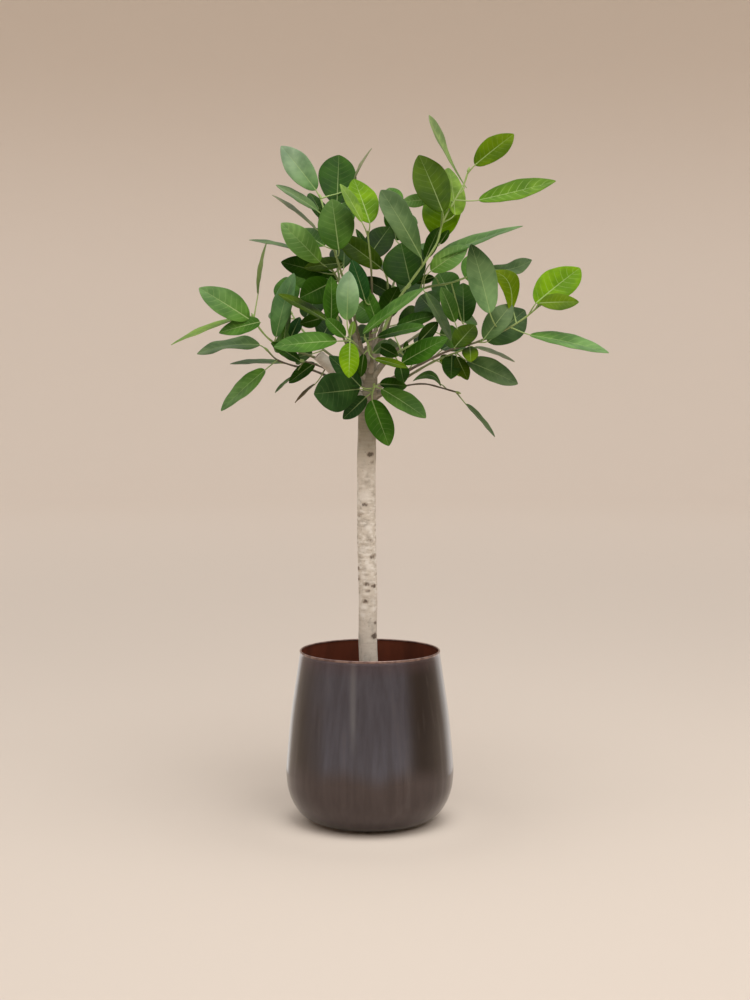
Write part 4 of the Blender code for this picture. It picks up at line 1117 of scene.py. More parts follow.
def blade_finish(leaf):
    """Leathery leaf with pale veins, duller and paler underneath.

    The attribute "blade" holds the place across from -1 to 1, the place along from 0 to 1, and
    the side, 1 on top. "measure" holds the metres off the midrib, a leaf's own random number and
    how clear its side veins are.
    """
    finish = Finish("fig_leaf")
    across, along, top = finish.parts(finish.attribute("blade"))
    off_rib, seed, clear = finish.parts(finish.attribute("measure"))
    # The leaf's tone, which holds painted sheen and shade as well as its green.
    tone = finish.attribute("tone", 0)
    place = finish.place()

    rib_width = finish.between(along, 0.0, 1.0, *RIB_WIDTHS)
    rib = finish.between(off_rib, rib_width * 0.5, rib_width * 1.5, 1.0, 0.0)
    half = abs(across)
    one_half = finish.between(across, -0.01, 0.01)
    slant = half**VEIN_CURVE * VEIN_SLANT + one_half * VEIN_OFFSET
    run = (along - slant) * leaf.vein_pairs + seed * 0.5
    near = abs(run.math("FRACT") - 0.5)
    wide = finish.between(half, 0.0, 1.0, *VEIN_WIDTHS)
    vein = finish.between(near, wide * 0.2, wide, 1.0, 0.0)
    vein = vein * finish.between(half, 0.60, 0.97, 1.0, 0.0)
    vein = vein * finish.between(along, 0.03, 0.10) * finish.between(along, 0.86, 0.98, 1.0, 0.0)
    shown = vein * clear * leaf.vein_strength

    blotch = finish.cloud(place, 22, 3)
    deep = finish.mix(1.0, tone, DEEP_SHARES, "MULTIPLY")
    fresh = finish.mix(1.0, tone, FRESH_SHARES, "MULTIPLY")
    colour = finish.stain(deep, fresh, blotch, 0.36, 0.66)
    colour = finish.stain(colour, deep, near, 0.10, 0.5, 0.0, 0.60, clear)
    colour = finish.stain(colour, fresh, half, 0.90, 1.0, 0.0, 0.30)
    pale = finish.mix(0.55, tone, SIDE_VEINS)
    colour = finish.mix(shown, colour, pale)
    fading = finish.between(along, 0.35, 1.0, 0.62, 0.30)
    shining = finish.between(clear, 0.04, 0.34, 0.55, 1.0)
    upper = finish.mix(rib * fading * shining, colour, MIDRIB)
    dull = finish.mix(0.16, tone, UNDERSIDE)
    dull = finish.stain(dull, tone, blotch, 0.35, 0.7, 0.0, 0.25)
    lower = finish.mix(rib * 0.55 + shown * 0.5, dull, UNDERSIDE_VEINS)
    colour = finish.mix(top, lower, upper)

    gloss = leaf.roughness + (blotch - 0.5) * 0.14 + vein * 0.05
    rough = gloss + (1 - top) * 0.22
    swell = finish.between(near, 0.0, 0.5) * (1 - half**4)
    relief = swell * clear * 1.4 - rib * 0.8
    turned = relief * (top * 2 - 1)
    normal = finish.bump(turned, 0.30, 0.0014)
    passing = finish.parts(colour)[1] * (THROUGH_GAIN * leaf.light_through)
    kept = (1 - leaf.light_through) / (1 - passing)
    skin_colour = finish.node("VectorMath", {"operation": "SCALE"}, {0: colour, "Scale": kept})
    skin = finish.surface(
        {"Base Color": skin_colour, "Roughness": rough, "Normal": normal, "Specular IOR Level": 0.06}
    )
    through = finish.node("BsdfTranslucent", None, {"Color": opaque(THROUGH_COLOUR)})
    shader = finish.node("MixShader", None, {0: passing, 1: skin, 2: through})
    return finish.done(shader)


def stem_finish(leaf):
    """Green stem and stalks, browner where the shoot leaves the wood.

    The attribute "age" is 0 at a shoot's tip and 1 where it leaves the wood.
    """
    finish = Finish("green_stem")
    age = finish.attribute("age", 2)
    flecks = finish.cloud(finish.place(), 420, 3)
    colour = finish.stain(leaf.stem_colour, RIPE_STEM, age, 0.15, 0.80)
    colour = finish.stain(colour, STEM_FLECKS, flecks, 0.55, 0.72, 0.0, 0.35)
    shader = finish.surface(
        {"Base Color": colour, "Roughness": 0.55, "Normal": finish.bump(flecks, 0.25, 0.0005)}
    )
    return finish.done(shader)


def floor_finish(stage):
    """Plain pale floor, paler at the pot's foot with painted light, and deeper round it and high on its
    rim with painted shade.
    """
    finish = Finish("pale_floor")
    across, back, height = finish.parts(finish.place())
    away = (across * across + back * back).math("SQRT")
    near = [FLOOR_SHADED_NEAR_SHARE * part for part in stage.floor_colour]
    high = [share * part for share, part in zip(FLOOR_SHADED_HIGH_SHARES, stage.floor_colour)]
    # Painted light at the pot's foot, against the pot's contact shadow.
    wear_and_foot_light = finish.between(away, 0.09, 0.36, 0.85, 0.0)
    # Painted shade near the middle, fading out towards the rim.
    colour = finish.stain(near, stage.floor_colour, away, 1.0, FLOOR_RADIUS)
    colour = finish.mix(wear_and_foot_light * wear_and_foot_light, colour, FLOOR_LIT_AT_FOOT)
    # Painted shade high on the rim.
    colour = finish.stain(colour, high, height, 1.6, 5.0)
    shader = finish.surface({"Base Color": colour, "Roughness": 1.0, "Specular IOR Level": 0.0})
    return finish.done(shader)


class Builder:
    """Points and faces of one piece, with the values that its finishes read at each point."""

    def __init__(self):
        self.points = []
        self.faces = []
        self.slots = []
        self.values = {}

    def add(self, point, **values):
        """One point; each value is a number or three of them."""
        for name, value in values.items():
            self.values.setdefault(name, {})[len(self.points)] = value
        self.points.append(point)
        return len(self.points) - 1

    def face(self, corners, slot=0):
        self.faces.append(corners)
        self.slots.append(slot)

    def bridge(self, row, following, slot=0):
        """Faces between two closed rows of as many points."""
        for i in range(len(row)):
            j = (i + 1) % len(row)
            self.face((row[i], row[j], following[j], following[i]), slot)

    def cap(self, ring, centre, slot=0, flip=False, **values):
        """Fan of faces that closes a ring at a centre."""
        middle = self.add(centre, **values)
        for i in range(len(ring)):
            j = (i + 1) % len(ring)
            corners = (ring[j], ring[i], middle) if flip else (ring[i], ring[j], middle)
            self.face(corners, slot)

    def shown(self, name, materials, smooth=True):
        """The mesh object, with its faces turned outwards."""
        mesh = bpy.data.meshes.new(name)
        mesh.from_pydata(self.points, [], self.faces)
        for material in materials:
            mesh.materials.append(material)
        mesh.polygons.foreach_set("material_index", self.slots)
        mesh.polygons.foreach_set("use_smooth", [smooth] * len(self.faces))
        for key, held in self.values.items():
            self.store(mesh, key, held)
        shape = bmesh.new()
        shape.from_mesh(mesh)
        bmesh.ops.recalc_face_normals(shape, faces=shape.faces)
        shape.to_mesh(mesh)
        shape.free()
        made = bpy.data.objects.new(name, mesh)
        bpy.context.scene.collection.objects.link(made)
        return made

    def piece(self, name, materials, smooth=True):
        """The mesh object as a piece of the plant, riding on its one body."""
        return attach(self.shown(name, materials, smooth), "root")

    def store(self, mesh, name, held):
        wide = isinstance(next(iter(held.values())), (tuple, list, Vector))
        kind = "FLOAT_VECTOR" if wide else "FLOAT"
        blank = (0.0, 0.0, 0.0) if wide else 0.0
        values = [held.get(i, blank) for i in range(len(self.points))]
        made = mesh.attributes.new(name, kind, "POINT")
        if wide:
            made.data.foreach_set("vector", [part for value in values for part in value])
        else:
            made.data.foreach_set("value", values)


def photo_point(pixel_x, pixel_y, depth):
    """World place of a pixel, at a depth in metres behind the trunk."""
    across = (pixel_x - POT_AXIS_PX) * METRES_PER_PIXEL
    up = (POT_FOOT_PX - pixel_y) * METRES_PER_PIXEL
    flat = Vector((across, 0.0, up))
    return EYE + (flat - EYE) * ((depth - EYE.y) / -EYE.y)


def branch_points(line):
    """World points of a branch given by pixels and depths."""
    return [photo_point(x, y, depth * MM) for x, y, depth in line]


def spread(first, last, count):
    """Evenly spaced values from first to last."""
    return [first + (last - first) * i / (count - 1) for i in range(count)]


def turns(count):
    """Evenly spaced angles of a full turn."""
    return [math.tau * k / count for k in range(count)]


def around(radius, angle, height=0.0):
    """Place at a radius and an angle round the upright axis."""
    return Vector((radius * math.cos(angle), radius * math.sin(angle), height))


def smooth_line(points, step):
    """Closely spaced points on a smooth curve through the given ones."""
    made = []
    for i in range(len(points) - 1):
        start, end = points[i], points[i + 1]
        before = points[i - 1] if i else start
        after = points[i + 2] if i + 2 < len(points) else end
        span = (end - start).length
        leaving = bend(before, start, end) * span
        arriving = bend(start, end, after) * span
        count = max(1, round(span / step))
        for k in range(count):
            made.append(hermite(start, end, leaving, arriving, k / count))
    return [*made, points[-1]]


def bend(before, middle, after):
    """Direction of a smooth curve at a point between two others."""
    one = (middle - before).normalized() if (middle - before).length else Vector()
    two = (after - middle).normalized() if (after - middle).length else Vector()
    return (one + two).normalized()


def hermite(start, end, leaving, arriving, t):
    """Point on a curve between two points with a direction at each."""
    rise = t * t * (3 - 2 * t)
    near = t * (1 - t) ** 2
    far = t * t * (t - 1)
    return start * (1 - rise) + end * rise + leaving * near + arriving * far


def ring_frames(line):
    """Two directions square to a line at each of its points, without twist."""
    frames = []
    side = None
    for i, point in enumerate(line):
        before = line[max(i - 1, 0)]
        after = line[min(i + 1, len(line) - 1)]
        heading = (after - before).normalized()
        if side is None:
            side = heading.orthogonal().normalized()
        side = (side - heading * side.dot(heading)).normalized()
        frames.append((side, heading.cross(side)))
    return frames


def add_tube(builder, line, radii, sides, slot=0, values=None, relief=None, close=(True, True)):
    """A round tube along a line. values and relief are worked out from a point and its share."""
    rings = []
    for i, (point, (side, up)) in enumerate(zip(line, ring_frames(line))):
        share = i / (len(line) - 1)
        ring = []
        for angle in turns(sides):
            out = side * math.cos(angle) + up * math.sin(angle)
            spot = point + out * radii[i]
            if relief:
                spot = spot + out * relief(spot, share)
            ring.append(builder.add(spot, **(values(spot, share) if values else {})))
        if rings:
            builder.bridge(rings[-1], ring, slot)
        rings.append(ring)
    for end, flip in ((0, True), (-1, False)):
        if close[end]:
            held = values(line[end], -end) if values else {}
            builder.cap(rings[end], line[end], slot, flip, **held)
    return rings


def inset(outline, distance):
    """Outline of radius and height moved towards the axis and up, square to itself."""
    moved = []
    for i, (radius, height) in enumerate(outline):
        before = outline[max(i - 1, 0)]
        after = outline[min(i + 1, len(outline) - 1)]
        slope = Vector((after[0] - before[0], after[1] - before[1])).normalized()
        moved.append((radius + slope.y * distance, height - slope.x * distance))
    return moved


def pot_wall():
    """Fine outline of the pot's outside, from the lip down to the foot."""
    points = [Vector((radius, 0.0, height)) for radius, height in POT_OUTSIDE]
    step = POT_HEIGHT / POT_ROWS
    fine = [*smooth_line(points[:CREASE], step), *smooth_line(points[CREASE:], step)]
    return [(point.x, point.z) for point in fine]


def wall_radius(outline, height):
    """Radius of an outline where it passes a height on its way down."""
    for (radius_a, height_a), (radius_b, height_b) in zip(outline, outline[1:]):
        if height_a >= height >= height_b:
            return radius_b + (radius_a - radius_b) * (height - height_b) / (height_a - height_b)
    return outline[-1][0]


def turned_rows(builder, outline, steps, slots):
    """Rows of faces turned about +Z, with one material slot for each step of the outline."""
    rows = []
    for radius, height in outline:
        rows.append([builder.add(around(radius, angle, height)) for angle in turns(steps)])
    for row, following, slot in zip(rows, rows[1:], slots):
        builder.bridge(row, following, slot)
    return rows


def build_pot(settings):
    outside = pot_wall()
    inside = inset(outside, POT_WALL)
    lip_radius = outside[0][0] - POT_WALL / 2
    lip = [
        (lip_radius - POT_LIP * math.cos(a), POT_HEIGHT - POT_LIP + POT_LIP * math.sin(a))
        for a in spread(LIP_START, LIP_END, LIP_POINTS)
    ]
    outline = [*reversed(inside), *lip, *outside]
    slots = [1] * len(inside) + [2] * len(lip) + [0] * len(outside)
    builder = Builder()
    rows = turned_rows(builder, outline, POT_STEPS, slots)
    builder.cap(rows[0], (0, 0, inside[-1][1]), 1)
    builder.cap(rows[-1], (0, 0, 0), 0)
    pot = builder.piece("bronze_pot", [bronze_outside(settings), bronze_inside(settings), bronze_lip()])
    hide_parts("pot")


def soil_height(radius, edge, angle, clod):
    """Height of the soil's lumpy top at a place."""
    spot = around(radius, angle)
    crown = SOIL_CROWN * (1 - (radius / edge) ** 2)
    lumps = noise.fractal(spot * CLOD_FREQUENCY, 1.0, 2.1, 4)
    crumbs = noise.fractal(spot * CRUMB_FREQUENCY, 1.0, 2.0, 3)
    return SOIL_TOP + crown + clod * (0.5 * (lumps + 0.5 * crumbs) - 0.3)


def build_soil(settings):
    inside = inset(pot_wall(), POT_WALL + SOIL_GAP)
    edge = wall_radius(inside, SOIL_TOP)
    builder = Builder()
    angles = turns(SOIL_STEPS)
    rows = []
    for radius in spread(SOIL_MIDDLE, edge, SOIL_RINGS):
        heights = [soil_height(radius, edge, angle, settings.clod_height) for angle in angles]
        row = [around(radius, angle, height) for angle, height in zip(angles, heights)]
        rows.append([builder.add(point) for point in row])
    low = SOIL_TOP - SOIL_SKIRT
    foot = wall_radius(inside, low)
    rows.append([builder.add(around(foot, angle, low)) for angle in angles])
    for row, following in zip(rows, rows[1:]):
        builder.bridge(row, following)
    builder.cap(rows[0], (0, 0, SOIL_TOP + SOIL_CROWN), 0)
    builder.cap(rows[-1], (0, 0, low), 0)
    add_chips(builder, settings, edge)
    soil = builder.piece("soil_with_bark", [soil_finish(settings), chip_finish()], smooth=False)
    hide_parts("soil")


def add_chips(builder, settings, edge):
    """Flat bark chips that lie half sunk in the soil at random turns."""
    draw = random.Random(CHIP_SEED)
    for _ in range(settings.chips):
        length = draw.uniform(*CHIP_LENGTHS)
        reach = edge - 0.6 * length - CHIP_CLEARANCE
        radius = reach * math.sqrt(draw.uniform(0.03, 1.0))
        angle = draw.uniform(0, math.tau)
        height = soil_height(radius, edge, angle, settings.clod_height)
        centre = around(radius, angle, height + CHIP_LIFT)
        turn = draw.uniform(0, math.tau)
        along = around(1.0, turn, draw.uniform(*CHIP_TILTS)).normalized()
        side = around(1.0, turn + math.pi / 2, draw.uniform(*CHIP_ROLLS)).normalized()
        half_width = length * draw.uniform(*CHIP_WIDTHS)
        add_chip(builder, draw, centre, along * length / 2, side * half_width)


def add_chip(builder, draw, centre, along, side):
    """One flat chip with a ragged outline, narrower on top."""
    up = along.cross(side).normalized()
    up = up if up.z > 0 else -up
    shade = draw.uniform(0, 1)
    corners = []
    for angle in turns(CHIP_CORNERS):
        stretch = draw.uniform(*CHIP_STRETCHES)
        corners.append((along * math.cos(angle) + side * math.sin(angle)) * stretch)
    thick = draw.uniform(*CHIP_HALF_THICKNESSES)
    top = [builder.add(centre + c * CHIP_TOP_SHARE + up * thick, shade=shade) for c in corners]
    low = [builder.add(centre + c - up * thick, shade=shade) for c in corners]
    builder.bridge(low, top, 1)
    builder.face(tuple(top), 1)
    builder.face(tuple(reversed(low)), 1)


def trunk_marks():
    """Places and sizes of the trunk's knots and patches, seen ones first and then hidden ones."""
    radius = TRUNK_RADII[0]
    found = []
    for kind, rows in (("knot", KNOTS), ("patch", PATCHES)):
        for pixel_x, pixel_y, size, strength in rows:
            spot = photo_point(pixel_x, pixel_y, 0.0)
            axis = photo_point(TRUNK_FOOT_PX, pixel_y, 0.0)
            across = min(max((spot.x - axis.x) / radius, -MARK_LIMIT), MARK_LIMIT)
            spot.y = -radius * math.sqrt(1 - across**2)
            found.append((kind, spot, size * MM, strength))
    draw = random.Random(HIDDEN_KNOT_SEED)
    for _ in range(HIDDEN_KNOTS):
        spot = around(radius, draw.uniform(*HIDDEN_KNOT_ANGLES), draw.uniform(*HIDDEN_KNOT_HEIGHTS))
        size = draw.uniform(*HIDDEN_KNOT_SIZES) * MM
        found.append(("knot", spot, size, draw.uniform(*HIDDEN_KNOT_STRENGTHS)))
    return found


def mark_strength(spot, marks, kind):
    """How strongly marks of one kind cover a spot, from 0 to 1."""
    most = 0.0
    for name, centre, size, strength in marks:
        if name == kind and abs(spot.z - centre.z) < 2 * size:
            away = spot - centre
            apart = math.hypot(away.x, away.y, KNOT_FLATNESS * away.z) / size
            most = max(most, strength * max(0.0, 1 - apart**2))
    return most


def limb_lines(shoot):
    """World lines of a shoot's wood and green stem, which meet at the wood's end."""
    wood = branch_points(shoot.wood_px)
    green = branch_points(shoot.stem_px)
    return wood, [wood[-1], *green]


def build_trunk(settings):
    marks = trunk_marks()
    foot = photo_point(TRUNK_FOOT_PX, POT_FOOT_PX, 0.0)
    foot.z = SOIL_TOP - TRUNK_FOOT_DEPTH
    collar = Vector((foot.x, 0.0, SOIL_TOP + TRUNK_COLLAR_RISE))
    points = [foot, collar, *branch_points(TRUNK_LINE)]
    line = smooth_line(points, TRUNK_RING_STEP)
    radii = radii_along(points, [TRUNK_RADII[0], TRUNK_RADII[0], *TRUNK_RADII], line)
    fork = branch_points(TRUNK_LINE)[TRUNK_FORK].z

    def values(spot, share):
        # The crown's painted shadow browns the trunk below its fork, carried with its young bark.
        above = spot.z - fork + YOUNG_AND_SHADED_BELOW_FORK + YOUNG_AND_SHADED_UNEVENNESS * noise.noise(spot * 45)
        young = min(max(above / YOUNG_AND_SHADED_RUN, 0.0), 1.0) * YOUNG_AND_SHADED_MOST
        knot = mark_strength(spot, marks, "knot")
        return {"marks": (knot, mark_strength(spot, marks, "patch"), young)}

    def relief(spot, share):
        lumps = noise.fractal(spot * TRUNK_LUMP_SCALE, 1.0, 2.0, 3) * TRUNK_LUMPS
        low = max((SOIL_TOP + FOOT_SWELL_TOP - spot.z) / FOOT_SWELL_RUN, 0.0)
        return lumps + low**2 * FOOT_SWELL + KNOT_RISE * mark_strength(spot, marks, "knot")

    builder = Builder()
    add_tube(builder, line, radii, settings.sides, 0, values, relief)
    add_pruned_limb(builder)
    for shoot in SHOOTS:
        add_limb(builder, shoot)
    trunk = builder.piece("fig_trunk", [bark_finish(settings), cut_finish()])
    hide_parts("trunk")


def radii_along(points, radii, line):
    """Radius at each point of a fine line, from the radii at the coarse points."""
    coarse = [0.0]
    for start, end in zip(points, points[1:]):
        coarse.append(coarse[-1] + (end - start).length)
    fine = [0.0]
    for start, end in zip(line, line[1:]):
        fine.append(fine[-1] + (end - start).length)
    made = []
    for length in fine:
        reached = length / fine[-1] * coarse[-1]
        i = max(k for k in range(len(coarse) - 1) if coarse[k] <= reached + 1e-9)
        part = min((reached - coarse[i]) / (coarse[i + 1] - coarse[i]), 1.0)
        part = part * part * (3 - 2 * part)
        made.append(radii[i] * (1 - part) + radii[i + 1] * part)
    return made


def add_pruned_limb(builder):
    """Thick limb that was cut short, with its cut end."""
    line = smooth_line(branch_points(PRUNED_LIMB), LIMB_RING_STEP)
    shares = spread(0.0, 1.0, len(line))

    def rooted(share):
        return max(1 - share / PRUNED_LIMB_COLLAR, 0.0)

    def values(spot, share):
        # Where the limb leaves the trunk this carries the trunk's painted shadow as well as younger
        # bark.
        return {"marks": (0.0, 0.0, PRUNED_LIMB_YOUTH + PRUNED_ROOT_YOUTH_AND_SHADE * rooted(share))}

    def relief(spot, share):
        return noise.fractal(spot * 60, 1.0, 2.0, 3) * PRUNED_LIMB_LUMPS

    thinned = [PRUNED_LIMB_RADIUS * (1 - PRUNED_LIMB_THINNING * share) for share in shares]
    radii = [thin + PRUNED_LIMB_FLARE * rooted(share) ** 2 for thin, share in zip(thinned, shares)]
    rings = add_tube(builder, line, radii, PRUNED_LIMB_SIDES, 0, values, relief, (True, False))
    heading = (line[-1] - line[-2]).normalized()
    previous = rings[-1]
    for share in CUT_RINGS:
        ring = []
        for index in rings[-1]:
            out = Vector(builder.points[index]) - line[-1]
            spot = line[-1] + out * share + heading * CUT_RINGS_RISE * (1 - share)
            ring.append(builder.add(spot, heart=share, marks=(0.0, 0.0, PRUNED_LIMB_YOUTH)))
        builder.bridge(previous, ring, 1)
        previous = ring
    builder.cap(previous, line[-1] + heading * CUT_MIDDLE_RISE, 1, False, heart=0.0)


def add_limb(builder, shoot):
    """One thin woody limb from the trunk to where its green shoot starts."""
    wood, green = limb_lines(shoot)
    heading = (green[1] - wood[-1]).normalized()
    line = smooth_line([*wood, wood[-1] + heading * LIMB_OVERLAP], LIMB_RING_STEP)
    radii = spread(LIMB_BASE_RADIUS * shoot.girth, LIMB_END_RADIUS * shoot.girth, len(line))

    def values(spot, share):
        return {"marks": (0.0, 0.0, LIMB_YOUTH + (1 - LIMB_YOUTH) * share)}

    def relief(spot, share):
        return noise.noise(spot * 150) * LIMB_LUMPS

    add_tube(builder, line, radii, LIMB_SIDES, 0, values, relief)


def leaf_axes(leaf):
    """Base, length, width, and the along, side and normal directions of a leaf's blade."""
    base = photo_point(*leaf.base_px, leaf.depth * MM)
    scale = METRES_PER_PIXEL * (leaf.depth * MM - EYE.y) / -EYE.y
    seen_length = math.dist(leaf.base_px, leaf.tip_px) * scale
    seen_width = leaf.seen_px * scale
    lean = leaf.lean
    if lean is None:
        true_length = max(seen_length, seen_width / BLADE_RATIO)
        rising = leaf.tip_px[1] < leaf.base_px[1]
        way = 1 if rising else -1
        lean = way * math.sqrt(true_length**2 - seen_length**2) / MM
    tip = photo_point(*leaf.tip_px, (leaf.depth + lean) * MM)
    length = (tip - base).length
    along = (tip - base) / length
    width = max(seen_width, min(BLADE_RATIO * length, BLADE_WIDEST))
    to_eye = (EYE - base).normalized()
    facing = (to_eye - along * to_eye.dot(along)).normalized()
    across = along.cross(facing)
    roll = math.acos(min(1.0, seen_width / width))
    front = facing * math.cos(roll)
    normals = [front + across * math.sin(roll), front - across * math.sin(roll)]
    normal = max(normals, key=lambda n: n.z)
    return base, length, width, along, normal.cross(along), normal


def blade_half_width(t, skew):
    """Half width of a blade as a share of its widest, from its base at 0 to its tip at 1."""
    u = t**skew
    return (4 * u * (1 - u)) ** (BLADE_FULLNESS + BLADE_POINT * t) if 0 < t < 1 else 0.0


def blade_point(leaf, axes, t, across):
    """Place on a blade: t from base to tip, across from -1 to 1 over the midrib."""
    base, length, width, along, side, normal = axes
    half = blade_half_width(t, leaf.skew) * width / 2
    apart = HALVES_APART if across > 0 else 0.0
    half *= 1 + BLADE_UNEVENNESS * math.sin(UNEVEN_RUN * t + UNEVEN_START * width + apart)
    rise = 4 * t * (1 - t)
    away = math.sqrt(across**2 + FOLD_SOFTNESS**2) - FOLD_SOFTNESS
    curl = away - BLADE_CURL * across**4
    lift = BLADE_ARCH * length * rise + BLADE_FOLD * half * curl
    lift += leaf.wave * half * across * math.sin(WAVE_RUN * t + WAVE_START * length)
    ripple = math.sin(RIPPLE_RUN * t + RIPPLE_START * width + 2 * across)
    lift += BLADE_RIPPLE * half * abs(across) ** 3 * ripple
    bow_x, bow_z = leaf.bow
    bow = Vector((bow_x, 0.0, bow_z)) * METRES_PER_PIXEL * rise
    return base + along * (length * t) + side * (half * across) + normal * lift + bow


def nearest_on_line(line, wanted):
    """The point of a line of straight runs that lies nearest to a wanted one."""
    found = []
    for start, end in zip(line, line[1:]):
        _, share = intersect_point_line(wanted, start, end)
        found.append(start.lerp(end, min(max(share, 0.0), 1.0)))
    return min(found, key=lambda point: (point - wanted).length)


def add_blade(builder, leaf, axes, rows, seed, slot):
    """Closed thin blade with a midrib that stands out underneath."""
    _, _, width, _, _, normal = axes
    near, far, clear = TONES[leaf.tone]
    near, far = Vector(linear(near)), Vector(linear(far))
    columns = [*(-c for c in reversed(HALF_COLUMNS)), 0.0, *HALF_COLUMNS]
    previous = None
    for k in range(rows + 1):
        turned = math.pi * (BLADE_START + (1 - BLADE_START) * k / rows)
        t = min(0.5 - 0.5 * math.cos(turned), 1.0)
        half = blade_half_width(t, leaf.skew) * width / 2
        # Colour from base to tip, with the tones' painted sheen and shade.
        tone = near.lerp(far, t)
        top, low = [], []
        for across in columns:
            spot = blade_point(leaf, axes, t, across)
            off = abs(across) * half
            rib = MIDRIB_RISE * math.exp(-((off / MIDRIB_WIDTH) ** 2)) * (1 - MIDRIB_THINNING * t)
            half_thick = normal * BLADE_THICKNESS / 2
            groove = normal * rib * MIDRIB_GROOVE
            held = {"measure": (off, seed, clear), "tone": tone}
            top.append(builder.add(spot + half_thick - groove, blade=(across, t, 1.0), **held))
            low.append(builder.add(spot - half_thick - normal * rib, blade=(across, t, 0.0), **held))
        ring = [*top, *reversed(low)]
        if previous:
            builder.bridge(previous, ring, slot)
        else:
            first = ring
        previous = ring
    builder.face(tuple(first), slot)
    builder.face(tuple(reversed(previous)), slot)


def add_stalk(builder, leaf, axes, stem_line, ripe, slot):
    """Round stalk that curves from the stem into the blade's midrib."""
    base, length, _, along, _, normal = axes
    wanted = base - along * (STALK_SHARE * length)
    root = nearest_on_line(stem_line, wanted)
    span = (base - root).length
    end = blade_point(leaf, axes, STALK_REACH, 0.0) - normal * STALK_DROP
    leaving = (base - root).normalized() * span
    arriving = along * span * (1 + STALK_HANDLE)
    count = 1 + max(6, round(span / STALK_STEP))
    line = [hermite(root, end, leaving, arriving, share) for share in spread(0.0, 1.0, count)]
    radii = spread(*STALK_RADII, count)
    age = STALK_AGE * ripe
    add_tube(builder, line, radii, STALK_SIDES, slot, lambda spot, share: {"age": age * (1 - share)})


def add_stem(builder, shoot, line, slot):
    """Green stem that thins towards a pointed bud."""
    thick = STEM_BASE_RADIUS * shoot.girth
    thinned = [share**STEM_THINNING for share in spread(0.0, 1.0, len(line))]
    radii = [thick + (STEM_TIP_RADIUS - thick) * part for part in thinned]
    knobs = [radius * (1 + KNOB_SWELL * math.sin(i * KNOB_RUN)) for i, radius in enumerate(radii)]
    ripe = shoot.ripe
    add_tube(
        builder, line, knobs, STEM_SIDES, slot, lambda spot, share: {"age": ripe * (STEM_AGE - share)}
    )
    heading = (line[-1] - line[-2]).normalized()
    bud = [line[-1] + heading * length for length in spread(0.0, BUD_LENGTH, BUD_RINGS)]
    swell = [math.sin(math.pi * turn) ** BUD_BLUNTNESS for turn in spread(*BUD_TURNS, BUD_RINGS)]
    bud_radii = [BUD_RADIUS * part for part in swell]
    add_tube(builder, bud, bud_radii, STEM_SIDES, slot, lambda spot, share: {"age": 0.0})


def build_shoot(settings, shoot, number, materials):
    """One leafy shoot: stem, stalks and blades in one piece."""
    _, green = limb_lines(shoot)
    line = smooth_line(green, LIMB_RING_STEP)
    builder = Builder()
    add_stem(builder, shoot, line, 1)
    draw = random.Random(FIRST_SHOOT_SEED + number)
    for leaf in shoot.leaves:
        axes = leaf_axes(leaf)
        add_stalk(builder, leaf, axes, line, shoot.ripe, 1)
        add_blade(builder, leaf, axes, settings.rows, draw.random(), 0)
    piece = builder.piece("leafy_" + shoot.name, materials)
    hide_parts(shoot.name)


def build_floor(settings):
    """Round floor whose far rim sweeps up into a backdrop."""
    builder = Builder()
    outline = [(radius, 0.0) for radius in (*FLOOR_RINGS, FLOOR_RADIUS)]
    for angle in spread(FLOOR_SWEEP_START, math.pi / 2, FLOOR_SWEEP_RINGS):
        radius = FLOOR_RADIUS + FLOOR_SWEEP * math.sin(angle)
        outline.append((radius, FLOOR_SWEEP * (1 - math.cos(angle))))
    outline.append((FLOOR_RADIUS + FLOOR_SWEEP, FLOOR_SWEEP + FLOOR_WALL))
    rows = turned_rows(builder, outline, FLOOR_STEPS, [0] * len(outline))
    builder.cap(rows[0], (0, 0, 0), 0)
    builder.shown("pale_floor", [floor_finish(settings)])


def add_area_light(name, place, aim, size, power, colour, reach):
    """A lamp that only the named kinds of rays see."""
    lamp = bpy.data.lights.new(name, "AREA")
    lamp.shape = "RECTANGLE"
    lamp.size, lamp.size_y = size
    lamp.energy = power
    lamp.color = colour
    made = bpy.data.objects.new(name, lamp)
    made.location = place
    made.rotation_euler = (Vector(aim) - Vector(place)).to_track_quat("-Z", "Y").to_euler()
    made.visible_camera = False
    made.visible_diffuse = "diffuse" in reach
    made.visible_glossy = "glossy" in reach
    bpy.context.scene.collection.objects.link(made)


def build_lights(settings):
    sets = (
        (SOFT_LAMPS, CROWN_AIM, settings.top_power),
        (POT_PANELS, POT_AIM, settings.panel_power),
    )
    for lamps, aim, power in sets:
        for name, place, size, share, colour, reach in lamps:
            add_area_light(name, place, aim, size, share * power, colour, reach)
    world = bpy.data.worlds.new("soft_sky")
    world.use_nodes = True
    back = world.node_tree.nodes["Background"]
    back.inputs["Color"].default_value = opaque(SKY_COLOUR)
    back.inputs["Strength"].default_value = settings.sky
    bpy.context.scene.world = world
    bpy.context.scene.view_settings.view_transform = "Standard"


def build_camera(settings):
    """Level camera whose shift frames the picture as the front view does."""
    camera = bpy.data.cameras.new("front_view")
    focal_px = settings.distance / METRES_PER_PIXEL
    camera.sensor_width = SENSOR
    camera.lens = SENSOR * focal_px / PICTURE_HEIGHT_PX
    camera.shift_y = (HORIZON_PX - PICTURE_HEIGHT_PX / 2) / PICTURE_HEIGHT_PX
    made = bpy.data.objects.new("front_view", camera)
    made.location = (EYE.x, -settings.distance, settings.height)
    made.rotation_euler = (math.pi / 2, 0, 0)
    bpy.context.scene.collection.objects.link(made)
    bpy.context.scene.camera = made


class FIG_OT_pot(bpy.types.Operator):
    """Build the bronze pot"""

    bl_idname = "fig.pot"
    bl_label = "Pot"

    def execute(self, context):
        build_pot(context.scene.fig_pot)
        return {"FINISHED"}


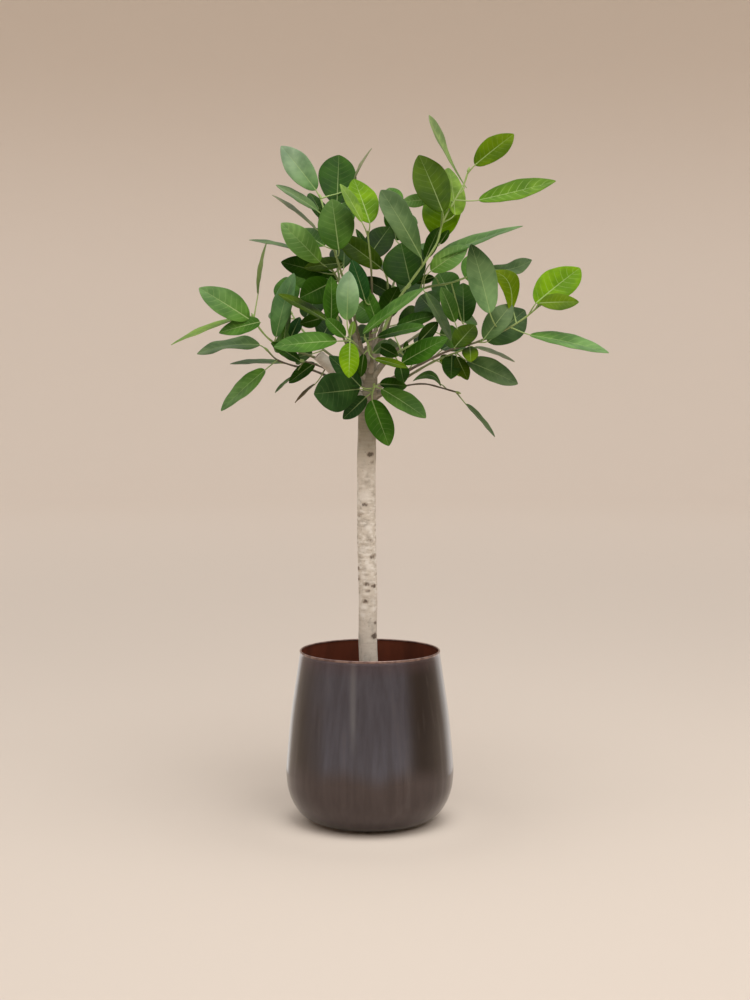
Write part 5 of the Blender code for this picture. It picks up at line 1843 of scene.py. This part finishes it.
class FIG_OT_soil(bpy.types.Operator):
    """Build the soil and its bark chips"""

    bl_idname = "fig.soil"
    bl_label = "Soil"

    def execute(self, context):
        build_soil(context.scene.fig_soil)
        return {"FINISHED"}


class FIG_OT_trunk(bpy.types.Operator):
    """Build the trunk and its limbs"""

    bl_idname = "fig.trunk"
    bl_label = "Trunk"

    def execute(self, context):
        build_trunk(context.scene.fig_wood)
        return {"FINISHED"}


class FIG_OT_shoots(bpy.types.Operator):
    """Build every leafy shoot"""

    bl_idname = "fig.shoots"
    bl_label = "Leafy shoots"

    def execute(self, context):
        settings = context.scene.fig_leaf
        materials = [blade_finish(settings), stem_finish(settings)]
        for number, shoot in enumerate(SHOOTS):
            build_shoot(settings, shoot, number, materials)
        return {"FINISHED"}


class FIG_OT_stage(bpy.types.Operator):
    """Build the floor, the lights and the camera"""

    bl_idname = "fig.stage"
    bl_label = "Stage"

    def execute(self, context):
        build_floor(context.scene.fig_stage)
        build_lights(context.scene.fig_stage)
        build_camera(context.scene.fig_view)
        return {"FINISHED"}


class FIG_PT_panel(bpy.types.Panel):
    """Sizes, colours and build steps of the fig"""

    bl_label = "Potted fig"
    bl_idname = "FIG_PT_panel"
    bl_space_type = "VIEW_3D"
    bl_region_type = "UI"
    bl_category = "Fig"

    def draw(self, context):
        for step, groups in STEPS:
            box = self.layout.box()
            for group in groups:
                settings = getattr(context.scene, group)
                for name in settings.__annotations__:
                    box.prop(settings, name)
            box.operator(step)


# Build steps in their order, each with the settings that it reads.
STEPS = (
    ("fig.pot", ("fig_pot",)),
    ("fig.soil", ("fig_soil",)),
    ("fig.trunk", ("fig_wood",)),
    ("fig.shoots", ("fig_leaf",)),
    ("fig.stage", ("fig_stage", "fig_view")),
)
GROUPS = {
    "fig_view": ViewSettings,
    "fig_pot": PotSettings,
    "fig_soil": SoilSettings,
    "fig_wood": WoodSettings,
    "fig_leaf": LeafSettings,
    "fig_stage": StageSettings,
}
OPERATORS = (FIG_OT_pot, FIG_OT_soil, FIG_OT_trunk, FIG_OT_shoots, FIG_OT_stage)


def register():
    for kind in (*GROUPS.values(), *OPERATORS, FIG_PT_panel):
        bpy.utils.register_class(kind)
    for name, kind in GROUPS.items():
        setattr(bpy.types.Scene, name, PointerProperty(type=kind))


def unregister():
    for name in GROUPS:
        delattr(bpy.types.Scene, name)
    for kind in (FIG_PT_panel, *reversed(OPERATORS), *reversed(tuple(GROUPS.values()))):
        bpy.utils.unregister_class(kind)


def main():
    register()
    bpy.ops.fig.pot()
    bpy.ops.fig.soil()
    bpy.ops.fig.trunk()
    bpy.ops.fig.shoots()
    bpy.ops.fig.stage()


if __name__ == "__main__":
    main()
